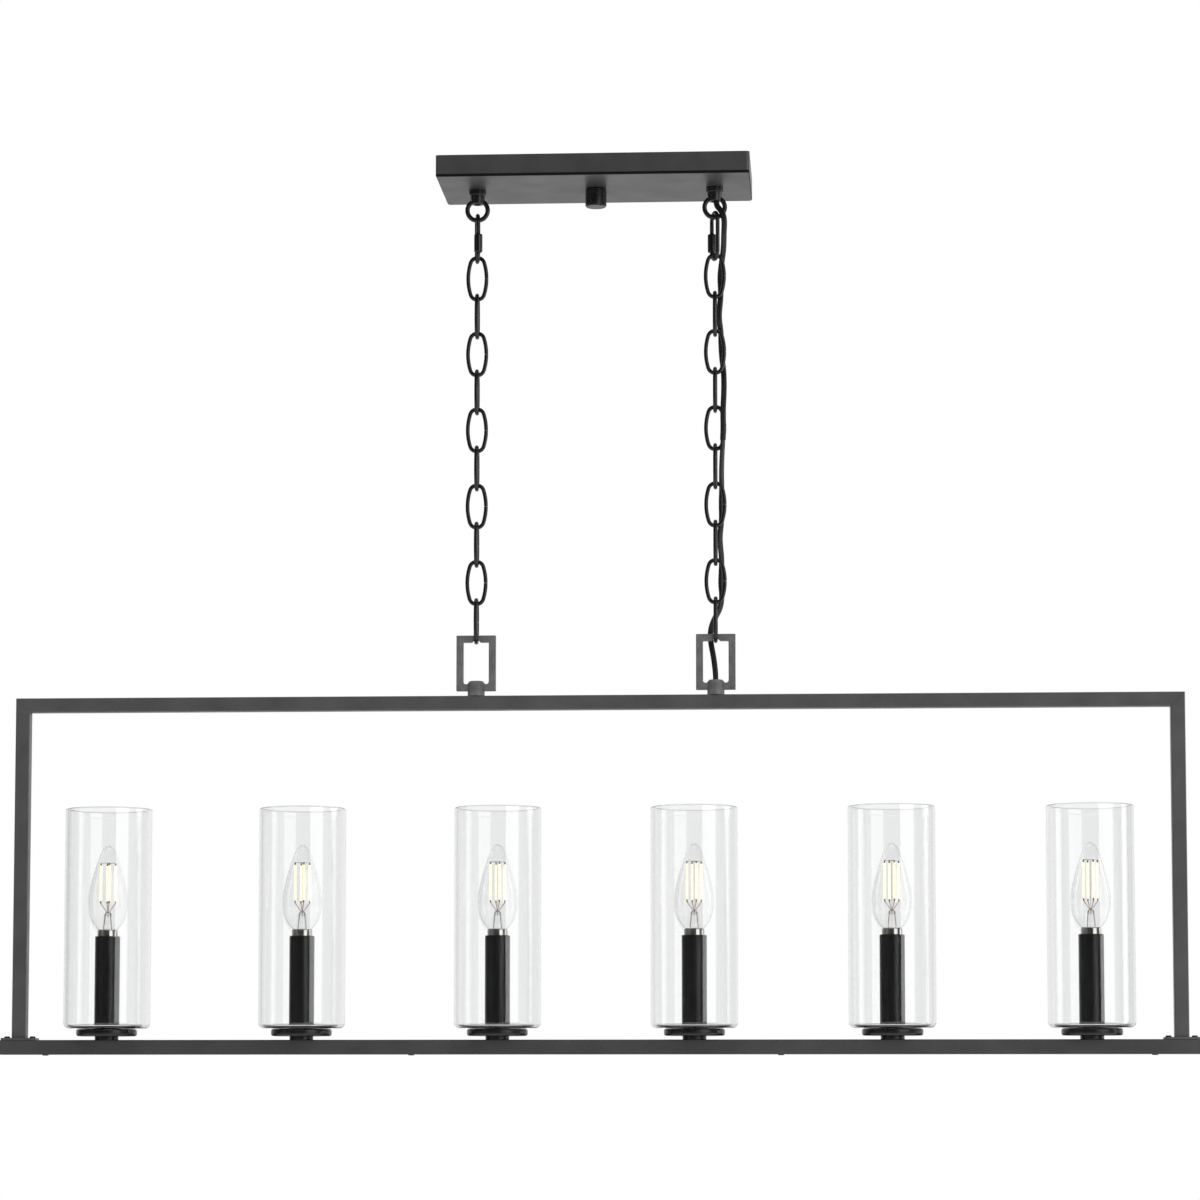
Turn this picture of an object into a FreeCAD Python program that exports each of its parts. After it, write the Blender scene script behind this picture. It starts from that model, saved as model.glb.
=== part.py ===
import FreeCAD, Part
import math
import os

# Linear island pendant with six candle lamps in clear glass cylinders.
# Millimetres. The origin is the middle of the canopy where it meets the ceiling,
# +Z is up, X runs along the pendant, and -Y is the side that it is seen from.

# ---- Driving dimensions ----------------------------------------------------

# Clearances
chain_gap = 0.3          # between links that hang on each other
turn_gap = 0.3           # between a turning or sliding piece and what it runs on
screw_gap = 0.15         # between a screw or nipple and its hole, on the radius
lay_gap = 0.3            # between a loose piece and the seat it stands on

# Canopy
canopy_length = 280.6
canopy_depth = 113.5
canopy_height = 19.6
canopy_wall = 1.2
canopy_corner = 3.0      # radius of the upright corners
canopy_edge = 2.0        # radius round the underside
stiffener_margin = 15.5    # past the middle of each ring loop
stiffener_width = 30.0
stiffener_thickness = 2.5
strap_length = 106.0
strap_width = 22.0
strap_thickness = 2.0
outlet_screw_spacing = 88.9
outlet_screw_hole = 4.8
stud_diameter = 4.8
stud_into_knob = 11.0
stud_nut_width = 8.7
stud_nut_height = 3.2
knob_diameter = 19.2
knob_height = 16.6
knob_edge = 1.2
ground_screw_x = 30.0
ground_screw_diameter = 3.5
ground_screw_head = 8.0
ground_screw_slot = 1.2

# Ring loops under the canopy
loop_inset = 32.8         # from each end of the canopy to a chain
flange_diameter = 15.4
flange_height = 5.0
neck_diameter = 13.3
neck_end_diameter = 12.0
neck_length = 13.0       # below the canopy, flange included
ring_drop = 18.3         # from the canopy's underside to the ring's middle
ring_diameter = 22.6
ring_wire = 4.2
stem_diameter = 9.7
stem_length = 12.0       # above the canopy's underside
cord_bore = 6.4
stem_nut_width = 14.0
stem_nut_height = 3.6
stem_washer_diameter = 18.0
stem_washer_thickness = 1.0

# Quick links
quick_length = 46.0
quick_width = 18.0
quick_wire = 3.6
quick_opening = 6.4
sleeve_length = 17.0
sleeve_diameter = 7.6
sleeve_edge = 1.0
quick_turn_left = 11.0   # degrees about Z
quick_turn_right = 203.0

# Chain of oval links
link_count = 10
link_length = 42.2
link_width = 20.3
link_wire = 3.6
link_end_radius = 6.4    # of the wire's middle, round each end

# Frame
frame_width = 1046.4
tube_size = 12.7
tube_wall = 1.2
tube_edge = 1.0
bar_overhang = 10.3       # past the frame at each end
bar_depth = 20.0
bar_height = 13.0
bar_wall = 1.5
bar_edge = 1.6
frame_height = 320.2     # from the bar's underside to the top of the tube
foot_length = 31.6
foot_thickness = 1.9
foot_corner = 2.5
foot_screw_diameter = 3.0
foot_screw_spacing = 23.0
foot_screw_head = 5.4
foot_screw_head_height = 1.5
foot_screw_length = 7.0
cover_screw_diameter = 3.0
cover_screw_length = 8.0
cover_screw_head = 5.4
cover_screw_head_height = 0.8
cover_screw_count = 4
cover_screw_inset = 40.0
cover_thickness = 1.2

# Rectangular frame loops
frame_loop_width = 35.3
frame_loop_height = 50.0
frame_loop_bar = 6.2
frame_loop_corner = 2.0
notch_width = 7.7
notch_depth = 2.1
collar_diameter = 15.4
collar_height = 13.5
collar_bevel = 1.6
collar_gap = 4.6         # between the tube and the loop's lower bar
nipple_into_collar = 7.0
nipple_into_tube = 4.0

# Lamps
lamp_count = 6
lamp_inset = 84.7         # from each end of the frame to the nearest lamp
lamp_neck_diameter = 21.2
lamp_neck_height = 3.4
holder_diameter = 54.2
holder_thickness = 6.4
holder_edge = 2.0
glass_diameter = 77.6
glass_height = 196.8
glass_wall = 3.0
glass_floor = 2.6
glass_corner = 5.0
candle_diameter = 22.4
candle_wall = 0.8
candle_top = 92.6        # above the bottom bar
candle_gap = 0.9         # between the candle sleeve and the hole in the glass
lamp_nipple_diameter = 9.7
lamp_nipple_bore = 6.4
lamp_nut_width = 14.0
lamp_nut_height = 3.0
lamp_nipple_end = 1.0     # of the nipple past its nut
socket_diameter = 19.6
socket_height = 32.0
socket_recess = 6.5      # from the candle's top down to the socket's mouth
socket_lining = 0.8      # room round the bulb's cap for the brass shell
socket_contact = 1.6     # from the cap's foot to the socket's floor
stem_strap_width = 9.0
stem_strap_thickness = 1.2
stem_strap_spread = 15.0
stem_strap_foot = 6.0     # height of the collar that the strap stands on
stem_strap_nipple = 5.0   # of the nipple past that collar

# Bulbs
cap_shell_diameter = 11.7
cap_shell_length = 17.0
cap_collar_diameter = 18.4
cap_collar_height = 10.0
cap_collar_shown = 5.6   # of the collar above the candle's top
bulb_diameter = 35.2
bulb_height = 75.8       # from the collar to the tip
bulb_widest = 26.0       # from the collar to the widest level
bulb_foot_diameter = 17.0
bulb_wall = 0.9
bulb_tip_radius = 4.5
bulb_stem_diameter = 8.6
bulb_stem_height = 16.0
filament_count = 4
filament_diameter = 1.8
filament_length = 33.0
filament_circle = 12.4
filament_lift = 24.0     # from the collar to the filaments' lower ends
filament_plate = 1.0     # thickness of the plates at the filaments' ends

# Wiring
cord_diameter = 5.2
lead_diameter = 2.2
lead_spread = 1.4         # of each lead from the middle of the cord
lead_rise = 3.5           # above the cord's end
lead_turn = 12.0
cord_past_stem = 1.5      # of the cord above the ring loop's stem
cord_into_tube = 2.0      # of the cord below the top of the tube
wiring_diameter = 3.4
connector_diameter = 9.0
connector_length = 15.0
connector_places = [(70.0, 26.0), (58.0, 38.0)]
wiring_hole = 6.0
wiring_above_cover = 4.0

# ---- Levels and places worked out from them ---------------------------------

underside_z = -canopy_height
canopy_floor_z = underside_z + canopy_wall
stiffener_top_z = canopy_floor_z + stiffener_thickness
ring_z = underside_z - ring_drop
loop_spacing = canopy_length - 2 * loop_inset
stiffener_length = loop_spacing + 2 * stiffener_margin
ring_radius = (ring_diameter - ring_wire) / 2
ring_wire_z = ring_z - ring_radius
stem_top_z = underside_z + stem_length

quick_top_z = ring_wire_z + ring_wire / 2 + chain_gap + quick_wire
quick_bottom_z = quick_top_z - quick_length
quick_wire_z = quick_bottom_z + quick_wire / 2

link_pitch = link_length - 2 * link_wire - chain_gap
first_link_z = quick_bottom_z + quick_wire + chain_gap + link_wire
last_link_z = first_link_z - (link_count - 1) * link_pitch
last_link_bottom_z = last_link_z - link_length

seat_z = last_link_bottom_z + link_wire + chain_gap
frame_loop_top_z = seat_z + frame_loop_bar - notch_depth
frame_loop_bottom_z = frame_loop_top_z - frame_loop_height
tube_top_z = frame_loop_bottom_z - collar_gap
tube_middle_z = tube_top_z - tube_size / 2
bar_bottom_z = tube_top_z - frame_height
bar_length = frame_width + 2 * bar_overhang
bar_top_z = bar_bottom_z + bar_height
foot_top_z = bar_top_z + foot_thickness

holder_bottom_z = bar_top_z + lamp_neck_height
holder_top_z = holder_bottom_z + holder_thickness
glass_hole_radius = candle_diameter / 2 + candle_gap + turn_gap
holder_step_radius = glass_hole_radius - turn_gap
holder_step_z = holder_top_z + lay_gap + glass_floor
candle_top_z = bar_top_z + candle_top
socket_top_z = candle_top_z - socket_recess
socket_bottom_z = socket_top_z - socket_height
collar_top_z = candle_top_z + cap_collar_shown
cap_collar_bottom_z = collar_top_z - cap_collar_height
socket_floor_z = cap_collar_bottom_z - cap_shell_length - socket_contact
stem_strap_foot_z = holder_step_z + stem_strap_foot
lamp_nipple_top_z = stem_strap_foot_z + stem_strap_nipple
lamp_nipple_bottom_z = bar_top_z - bar_wall - lamp_nut_height - lamp_nipple_end
cord_start_z = stem_top_z + cord_past_stem
cord_end_z = tube_top_z - cord_into_tube

left_x = -loop_spacing / 2
right_x = loop_spacing / 2
upright_x = (frame_width - tube_size) / 2
foot_screw_places = [(side * upright_x + step * foot_screw_spacing / 2)
                     for side in (-1, 1) for step in (-1, 1)]
lamp_spacing = (frame_width - 2 * lamp_inset) / (lamp_count - 1)
lamp_places = [(n - (lamp_count - 1) / 2) * lamp_spacing for n in range(lamp_count)]

vector = FreeCAD.Vector
along_x = vector(1, 0, 0)
along_y = vector(0, 1, 0)
along_z = vector(0, 0, 1)


# ---- Shapes -----------------------------------------------------------------

def save(name, *solids):
    shape = solids[0] if len(solids) == 1 else Part.Compound(list(solids))
    shape.exportStep("parts/" + name + ".step")


def block(x_low, x_high, y_low, y_high, z_low, z_high):
    return Part.makeBox(x_high - x_low, y_high - y_low, z_high - z_low,
                        vector(x_low, y_low, z_low))


def rod(diameter, z_low, z_high, x=0.0, y=0.0):
    return Part.makeCylinder(diameter / 2, z_high - z_low, vector(x, y, z_low))


def pipe(outer, inner, z_low, z_high, x=0.0, y=0.0):
    return rod(outer, z_low, z_high, x, y).cut(rod(inner, z_low - 1, z_high + 1, x, y))


def hex_nut(width, bore, z_low, z_high, x=0.0, y=0.0):
    corner = width / math.sqrt(3)
    corners = [vector(x + corner * math.cos(math.radians(60 * n)),
                      y + corner * math.sin(math.radians(60 * n)), z_low) for n in range(7)]
    nut = Part.Face(Part.makePolygon(corners)).extrude(vector(0, 0, z_high - z_low))
    return nut.cut(rod(bore, z_low - 1, z_high + 1, x, y))


def rounded_outline(corners):
    """Closed outline in the XZ plane from (x, z, corner radius)."""
    count = len(corners)
    entries = []
    for n, (x, z, radius) in enumerate(corners):
        point = vector(x, 0, z)
        if radius <= 0:
            entries.append((point, point, None))
            continue
        before = vector(corners[n - 1][0], 0, corners[n - 1][1]) - point
        after = vector(corners[(n + 1) % count][0], 0, corners[(n + 1) % count][1]) - point
        half = before.getAngle(after) / 2
        before.normalize()
        after.normalize()
        reach = radius / math.tan(half)
        inward = (before + after).normalize()
        middle = point + inward * (radius / math.sin(half) - radius)
        entries.append((point + before * reach, point + after * reach, middle))
    edges = []
    for n, (start, end, middle) in enumerate(entries):
        if middle is not None:
            edges.append(Part.Arc(start, middle, end).toShape())
        following = entries[(n + 1) % count][0]
        if (following - end).Length > 1e-6:
            edges.append(Part.LineSegment(end, following).toShape())
    return Part.Wire(edges)


def turned(corners, x=0.0, y=0.0):
    """Solid of revolution about an upright axis from (radius, z, corner radius)."""
    face = Part.Face(rounded_outline(corners))
    solid = face.revolve(vector(0, 0, 0), along_z, 360)
    solid.translate(vector(x, y, 0))
    return solid


def bent_rod(diameter, centre, axis, start, degrees):
    """Round wire bent about an axis, from a start point on its middle line."""
    direction = axis.cross(start - centre)
    section = Part.Face(Part.Wire(Part.makeCircle(diameter / 2, start, direction)))
    return section.revolve(centre, axis, degrees)


def route(points):
    """Straight runs joined by tangent arcs as large as the runs allow, and the arcs' radii."""
    edges = []
    radii = []
    position = points[0]
    for n in range(1, len(points) - 1):
        corner = points[n]
        back = points[n - 1] - corner
        ahead = points[n + 1] - corner
        shorter = min(back.Length, ahead.Length)
        turn = math.pi - back.getAngle(ahead)
        reach = 0.45 * shorter
        radius = reach / math.tan(turn / 2)
        radii.append(radius)
        back.normalize()
        ahead.normalize()
        inward = (back + ahead).normalize()
        middle = corner + inward * (radius / math.cos(turn / 2) - radius)
        arc_start = corner + back * reach
        arc_end = corner + ahead * reach
        edges.append(Part.LineSegment(position, arc_start).toShape())
        edges.append(Part.Arc(arc_start, middle, arc_end).toShape())
        position = arc_end
    edges.append(Part.LineSegment(position, points[-1]).toShape())
    return Part.Wire(edges), radii


def cord_along(points, diameter):
    path, radii = route(points)
    first = points[1] - points[0]
    section = Part.Wire(Part.makeCircle(diameter / 2, points[0], first))
    solid = path.makePipeShell([section], True, False)
    if solid.Volume < 0:
        solid.reverse()
    return solid, path, radii


# ---- Canopy -----------------------------------------------------------------

def plain_box_edges(shape, axis):
    """Straight edges of a shape that run along an axis."""
    return [edge for edge in shape.Edges
            if len(edge.Vertexes) == 2
            and abs((edge.Vertexes[1].Point - edge.Vertexes[0].Point).normalize().dot(axis)) > 0.999]


def canopy_cover():
    half_x = canopy_length / 2
    half_y = canopy_depth / 2
    outside = block(-half_x, half_x, -half_y, half_y, underside_z, 0)
    outside = outside.makeFillet(canopy_corner, plain_box_edges(outside, along_z))
    rim = [edge for edge in outside.Edges if edge.BoundBox.ZMax < underside_z + 0.01]
    outside = outside.makeFillet(canopy_edge, rim)
    inner_x = half_x - canopy_wall
    inner_y = half_y - canopy_wall
    inside = block(-inner_x, inner_x, -inner_y, inner_y, canopy_floor_z, 1)
    inside = inside.makeFillet(canopy_corner - canopy_wall, plain_box_edges(inside, along_z))
    rim = [edge for edge in inside.Edges if edge.BoundBox.ZMax < canopy_floor_z + 0.01]
    inside = inside.makeFillet(canopy_edge - canopy_wall, rim)
    cover = outside.cut(inside)
    cover = cover.cut(rod(stud_diameter + 2 * screw_gap, underside_z - 1, 0))
    for x in (left_x, right_x):
        cover = cover.cut(rod(stem_diameter + 2 * screw_gap, underside_z - 1, canopy_floor_z + 1, x))
    return cover


def canopy_stiffener():
    bar = block(-stiffener_length / 2, stiffener_length / 2,
                -stiffener_width / 2, stiffener_width / 2, canopy_floor_z, stiffener_top_z)
    bar = bar.makeFillet(stiffener_width / 4, plain_box_edges(bar, along_z))
    bar = bar.cut(rod(stud_diameter + 2 * screw_gap, canopy_floor_z - 1, stiffener_top_z + 1))
    for x in (left_x, right_x):
        bar = bar.cut(rod(stem_diameter + 2 * screw_gap, canopy_floor_z - 1, stiffener_top_z + 1, x))
    return bar


def mounting_strap():
    strap = block(-strap_length / 2, strap_length / 2, -strap_width / 2, strap_width / 2,
                  -strap_thickness, 0)
    strap = strap.makeFillet(strap_width / 3, plain_box_edges(strap, along_z))
    for x in (-outlet_screw_spacing / 2, outlet_screw_spacing / 2):
        strap = strap.cut(rod(outlet_screw_hole, -strap_thickness - 1, 1, x))
    strap = strap.cut(rod(stud_diameter + 2 * screw_gap, -strap_thickness - 1, 1))
    strap = strap.cut(rod(ground_screw_diameter + 2 * screw_gap, -strap_thickness - 1, 1,
                          ground_screw_x))
    return strap


def ground_screw():
    head_top = -strap_thickness
    head_bottom = head_top - ground_screw_diameter
    head = rod(ground_screw_head, head_bottom, head_top, ground_screw_x)
    shank = rod(ground_screw_diameter, head_top, -0.2, ground_screw_x)
    slot = block(ground_screw_x - ground_screw_head, ground_screw_x + ground_screw_head,
                 -ground_screw_slot / 2, ground_screw_slot / 2,
                 head_bottom - 1, head_bottom + ground_screw_slot)
    return head.fuse(shank).cut(slot).removeSplitter()


def strap_stud():
    return rod(stud_diameter, underside_z - stud_into_knob, -0.2)


def stud_nut():
    return hex_nut(stud_nut_width, stud_diameter + 2 * screw_gap,
                   -strap_thickness - stud_nut_height, -strap_thickness)


def canopy_knob():
    top = underside_z - turn_gap
    bottom = top - knob_height + turn_gap
    bore = stud_diameter / 2 + turn_gap
    bore_end = underside_z - stud_into_knob - 2 * turn_gap
    radius = knob_diameter / 2
    return turned([(bore, top, 0), (radius, top, 0.6), (radius, bottom, knob_edge),
                   (0, bottom, 0), (0, bore_end, 0), (bore, bore_end, 0)])


def canopy_loop(x):
    flange_bottom = underside_z - flange_height
    neck_bottom = underside_z - neck_length
    bore = cord_bore / 2
    body = turned([(bore, neck_bottom, 0.6), (neck_end_diameter / 2, neck_bottom, 0.8),
                   (neck_diameter / 2, flange_bottom, 0), (flange_diameter / 2, flange_bottom, 0.8),
                   (flange_diameter / 2, underside_z, 0), (stem_diameter / 2, underside_z, 0),
                   (stem_diameter / 2, stem_top_z, 0.5), (bore, stem_top_z, 0)])
    ring = Part.makeTorus(ring_radius, ring_wire / 2, vector(0, 0, ring_z), along_y)
    ring = ring.cut(rod(cord_bore, ring_z, underside_z))
    loop = body.fuse(ring).removeSplitter()
    loop.translate(vector(x, 0, 0))
    return loop


def loop_fasteners():
    """A washer and a nut on the stem of each ring loop."""
    washer_top = stiffener_top_z + stem_washer_thickness
    hole = stem_diameter + 2 * screw_gap
    fasteners = []
    for x in (left_x, right_x):
        fasteners.append(pipe(stem_washer_diameter, hole, stiffener_top_z, washer_top, x))
        fasteners.append(hex_nut(stem_nut_width, hole, washer_top, washer_top + stem_nut_height, x))
    return fasteners


# ---- Quick links and chain --------------------------------------------------

def quick_link(x, degrees):
    """Link of round wire with one leg open between its threads, in the YZ plane."""
    end_radius = (quick_width - quick_wire) / 2
    high = quick_top_z - quick_wire / 2 - end_radius
    low = quick_wire_z + end_radius
    top_bend = bent_rod(quick_wire, vector(0, 0, high), along_x, vector(0, end_radius, high), 180)
    low_bend = bent_rod(quick_wire, vector(0, 0, low), along_x, vector(0, -end_radius, low), 180)
    closed_leg = rod(quick_wire, low, high, 0, end_radius)
    opening_low = low + (sleeve_length - quick_opening) / 2
    low_leg = rod(quick_wire, low, opening_low, 0, -end_radius)
    high_leg = rod(quick_wire, opening_low + quick_opening, high, 0, -end_radius)
    link = top_bend.multiFuse([low_bend, closed_leg, low_leg, high_leg]).removeSplitter()
    link.rotate(vector(0, 0, 0), along_z, degrees)
    link.translate(vector(x, 0, 0))
    return link


def link_sleeve(x, degrees):
    """Threaded sleeve that closes the open leg; it runs up the leg to open the link."""
    end_radius = (quick_width - quick_wire) / 2
    low = quick_wire_z + end_radius
    bore = quick_wire / 2 + turn_gap
    radius = sleeve_diameter / 2
    sleeve = turned([(bore, low, 0), (radius, low, sleeve_edge),
                     (radius, low + sleeve_length, sleeve_edge), (bore, low + sleeve_length, 0)],
                    0, -end_radius)
    sleeve.rotate(vector(0, 0, 0), along_z, degrees)
    sleeve.translate(vector(x, 0, 0))
    return sleeve


def oval_link(x, top_z, face_on):
    """Oval of round wire: two end arcs and two flatter side arcs, tangent to each other."""
    half_length = (link_length - link_wire) / 2
    half_width = (link_width - link_wire) / 2
    rise = half_length - link_end_radius
    side_radius = (rise ** 2 + half_width ** 2 - link_end_radius ** 2) \
        / (2 * (half_width - link_end_radius))
    offset = side_radius - half_width
    half_side = math.degrees(math.atan2(rise, offset))
    middle = vector(0, 0, top_z - link_length / 2)
    end_reach = vector(math.cos(math.radians(half_side)), 0, math.sin(math.radians(half_side)))
    across = vector(0, -1, 0)
    pieces = []
    for turn in (0, 180):
        side_centre = middle - vector(offset, 0, 0)
        side = bent_rod(link_wire, side_centre, across,
                        side_centre + vector(end_reach.x, 0, -end_reach.z) * side_radius,
                        2 * half_side)
        end_centre = middle + vector(0, 0, rise)
        end = bent_rod(link_wire, end_centre, across, end_centre + end_reach * link_end_radius,
                       180 - 2 * half_side)
        for piece in (side, end):
            piece.rotate(middle, along_y, turn)
            pieces.append(piece)
    link = pieces[0].multiFuse(pieces[1:]).removeSplitter()
    if not face_on:
        link.rotate(middle, along_z, 90)
    link.translate(vector(x, 0, 0))
    return link


def chain_links(x):
    """Links of one chain from the top: face on, edge on, and so on."""
    return [oval_link(x, first_link_z - n * link_pitch, n % 2 == 0) for n in range(link_count)]


# ---- Frame ------------------------------------------------------------------

def square_tube(x_low, x_high):
    """Hollow square tube along X, with its middle line on the X axis."""
    half = tube_size / 2
    outside = block(x_low, x_high, -half, half, -half, half)
    outside = outside.makeFillet(tube_edge, plain_box_edges(outside, along_x))
    inner = half - tube_wall
    return outside.cut(block(x_low - 1, x_high + 1, -inner, inner, -inner, inner))


def mitre_cutter(sign, away):
    """Wedge on one side of the 45 degree plane through the frame's upper corner."""
    size = 3 * tube_size
    corner = vector(sign * frame_width / 2, -size, tube_top_z)
    run = vector(-sign * size, 0, -size)
    beyond = away * 3 * size
    wedge = [corner - run, corner + run, corner + run + beyond, corner - run + beyond, corner - run]
    return Part.Face(Part.makePolygon(wedge)).extrude(vector(0, 2 * size, 0))


def top_tube():
    tube = square_tube(-frame_width / 2, frame_width / 2)
    tube.translate(vector(0, 0, tube_middle_z))
    for sign in (-1, 1):
        tube = tube.cut(mitre_cutter(sign, along_x * sign))
    hole = stem_diameter + 2 * screw_gap
    for x in (left_x, right_x):
        tube = tube.cut(rod(hole, tube_middle_z, tube_top_z + 1, x))
    return tube


def upright(sign):
    length = tube_top_z - foot_top_z
    tube = square_tube(0, length)
    tube.rotate(vector(0, 0, 0), along_y, -90)
    tube.translate(vector(sign * upright_x, 0, foot_top_z))
    return tube.cut(mitre_cutter(sign, along_z))


def foot_plate(sign):
    x = sign * upright_x
    plate = block(x - foot_length / 2, x + foot_length / 2, -bar_depth / 2, bar_depth / 2,
                  bar_top_z, foot_top_z)
    plate = plate.makeFillet(foot_corner, plain_box_edges(plate, along_z))
    for step in (-1, 1):
        plate = plate.cut(rod(foot_screw_diameter + 2 * screw_gap, bar_top_z - 1, foot_top_z + 1,
                              x + step * foot_screw_spacing / 2))
    return plate.cut(rod(wiring_hole, bar_top_z - 1, foot_top_z + 1, x))


def foot_screws():
    screws = []
    for x in foot_screw_places:
        head = turned([(0, foot_top_z, 0), (foot_screw_head / 2, foot_top_z, 0),
                       (foot_screw_head / 2, foot_top_z + foot_screw_head_height, 0.9),
                       (0, foot_top_z + foot_screw_head_height, 0)], x)
        shank = rod(foot_screw_diameter, foot_top_z - foot_screw_length, foot_top_z, x)
        screws.append(head.fuse(shank).removeSplitter())
    return screws


def cover_screw_places():
    inset = bar_length / 2 - cover_screw_inset
    step = 2 * inset / (cover_screw_count - 1)
    return [-inset + n * step for n in range(cover_screw_count)]


def bottom_bar():
    """Folded channel with closed ends, open underneath for its wiring."""
    half_x = bar_length / 2
    half_y = bar_depth / 2
    bar = block(-half_x, half_x, -half_y, half_y, bar_bottom_z, bar_top_z)
    bar = bar.makeFillet(bar_edge, plain_box_edges(bar, along_z))
    rim = [edge for edge in bar.Edges
           if edge.BoundBox.ZMin > bar_top_z - 0.01 or edge.BoundBox.ZMax < bar_bottom_z + 0.01]
    bar = bar.makeChamfer(bar_edge / 3, rim)
    inside = block(-half_x + bar_wall, half_x - bar_wall, -half_y + bar_wall, half_y - bar_wall,
                   bar_bottom_z - 1, bar_top_z - bar_wall)
    bar = bar.cut(inside)
    for x in lamp_places:
        bar = bar.cut(rod(lamp_nipple_diameter + 2 * screw_gap, bar_bottom_z, bar_top_z + 1, x))
    for x in foot_screw_places:
        bar = bar.cut(rod(foot_screw_diameter + 2 * screw_gap, bar_bottom_z, bar_top_z + 1, x))
    return bar.cut(rod(wiring_hole, bar_bottom_z, bar_top_z + 1, upright_x))


def bar_cover():
    """Plate that closes the bar from below, with bent ears for its screws."""
    half_x = bar_length / 2 - bar_wall - screw_gap
    half_y = bar_depth / 2 - bar_wall - screw_gap
    plate = block(-half_x, half_x, -half_y, half_y, bar_bottom_z, bar_bottom_z + cover_thickness)
    for x in cover_screw_places():
        plate = plate.cut(rod(cover_screw_diameter + 2 * screw_gap, bar_bottom_z - 1,
                              bar_bottom_z + cover_thickness + 1, x))
    return plate


def cover_screw_posts():
    """Threaded bridges across the channel that take the cover's screws."""
    half_y = bar_depth / 2 - bar_wall
    low = bar_bottom_z + cover_thickness + screw_gap
    posts = []
    for x in cover_screw_places():
        post = block(x - foot_length / 4, x + foot_length / 4, -half_y, half_y, low, low + bar_wall)
        posts.append(post.cut(rod(cover_screw_diameter + 2 * screw_gap, low - 1,
                                  low + bar_wall + 1, x)))
    return posts


def cover_screws():
    low = bar_bottom_z - cover_screw_head_height
    screws = []
    for x in cover_screw_places():
        head = rod(cover_screw_head, low, bar_bottom_z, x)
        shank = rod(cover_screw_diameter, bar_bottom_z, bar_bottom_z + cover_screw_length, x)
        screws.append(head.fuse(shank).removeSplitter())
    return screws


def frame_loop(x):
    """Cast rectangle with a collar below; a saddle in its top bar rides on the last link."""
    half = frame_loop_width / 2
    deep = frame_loop_bar / 2
    outer = rounded_outline([(-half, frame_loop_bottom_z, frame_loop_corner / 2),
                             (half, frame_loop_bottom_z, frame_loop_corner / 2),
                             (half, frame_loop_top_z, frame_loop_corner / 2),
                             (-half, frame_loop_top_z, frame_loop_corner / 2)])
    inner_half = half - frame_loop_bar
    inner_low = frame_loop_bottom_z + frame_loop_bar
    inner_high = frame_loop_top_z - frame_loop_bar
    window = rounded_outline([(-inner_half, inner_low, frame_loop_corner),
                              (inner_half, inner_low, frame_loop_corner),
                              (inner_half, inner_high, 0), (-inner_half, inner_high, 0)])
    rectangle = Part.Face(outer).extrude(vector(0, frame_loop_bar, 0))
    rectangle = rectangle.cut(Part.Face(window).extrude(vector(0, frame_loop_bar, 0)))
    rectangle.translate(vector(0, -deep, 0))
    notch = Part.makePolygon([vector(-notch_width / 2, -deep - 1, inner_high - 0.01),
                              vector(-link_wire / 2, -deep - 1, inner_high + notch_depth),
                              vector(link_wire / 2, -deep - 1, inner_high + notch_depth),
                              vector(notch_width / 2, -deep - 1, inner_high - 0.01),
                              vector(-notch_width / 2, -deep - 1, inner_high - 0.01)])
    rectangle = rectangle.cut(Part.Face(notch).extrude(vector(0, frame_loop_bar + 2, 0)))
    link_bend_z = last_link_bottom_z + link_wire / 2 + link_end_radius
    saddle = Part.makeTorus(link_end_radius, link_wire / 2 + chain_gap,
                            vector(0, 0, link_bend_z), along_x)
    saddle = saddle.common(block(-half, half, -half, half, inner_high - frame_loop_bar, seat_z + 1.2))
    rectangle = rectangle.cut(saddle)
    collar_top = tube_top_z + collar_height
    collar_radius = collar_diameter / 2
    bore = cord_bore / 2
    nipple_bore = stem_diameter / 2 + screw_gap
    nipple_top = tube_top_z + nipple_into_collar
    solid_collar = turned([(0, tube_top_z, 0), (collar_radius, tube_top_z, 0),
                           (collar_radius, collar_top - collar_bevel, 0),
                           (collar_radius - collar_bevel, collar_top, 0), (0, collar_top, 0)])
    hollow = turned([(0, tube_top_z - 1, 0), (nipple_bore, tube_top_z - 1, 0),
                     (nipple_bore, nipple_top + screw_gap, 0), (bore, nipple_top + screw_gap, 0),
                     (bore, collar_top + 1, 0), (0, collar_top + 1, 0)])
    loop = rectangle.fuse(solid_collar).cut(hollow).removeSplitter()
    loop.translate(vector(x, 0, 0))
    return loop


def loop_nipples():
    return [pipe(stem_diameter, cord_bore, tube_top_z - nipple_into_tube,
                 tube_top_z + nipple_into_collar, x) for x in (left_x, right_x)]


# ---- Lamps ------------------------------------------------------------------

def lamp_neck(x):
    return pipe(lamp_neck_diameter, lamp_nipple_diameter + 2 * screw_gap,
                bar_top_z, holder_bottom_z, x)


def glass_holder(x):
    """Round plate with a low step that centres the glass and carries the candle sleeve."""
    radius = holder_diameter / 2
    bore = lamp_nipple_diameter / 2 + screw_gap
    return turned([(bore, holder_bottom_z, 0), (radius, holder_bottom_z, holder_edge),
                   (radius, holder_top_z, holder_edge), (holder_step_radius, holder_top_z, 0),
                   (holder_step_radius, holder_step_z, 0), (bore, holder_step_z, 0)], x)


def lamp_nipple(x):
    return pipe(lamp_nipple_diameter, lamp_nipple_bore, lamp_nipple_bottom_z, lamp_nipple_top_z, x)


def lamp_nut(x):
    top = bar_top_z - bar_wall
    return hex_nut(lamp_nut_width, lamp_nipple_diameter + 2 * screw_gap,
                   top - lamp_nut_height, top, x)


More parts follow.
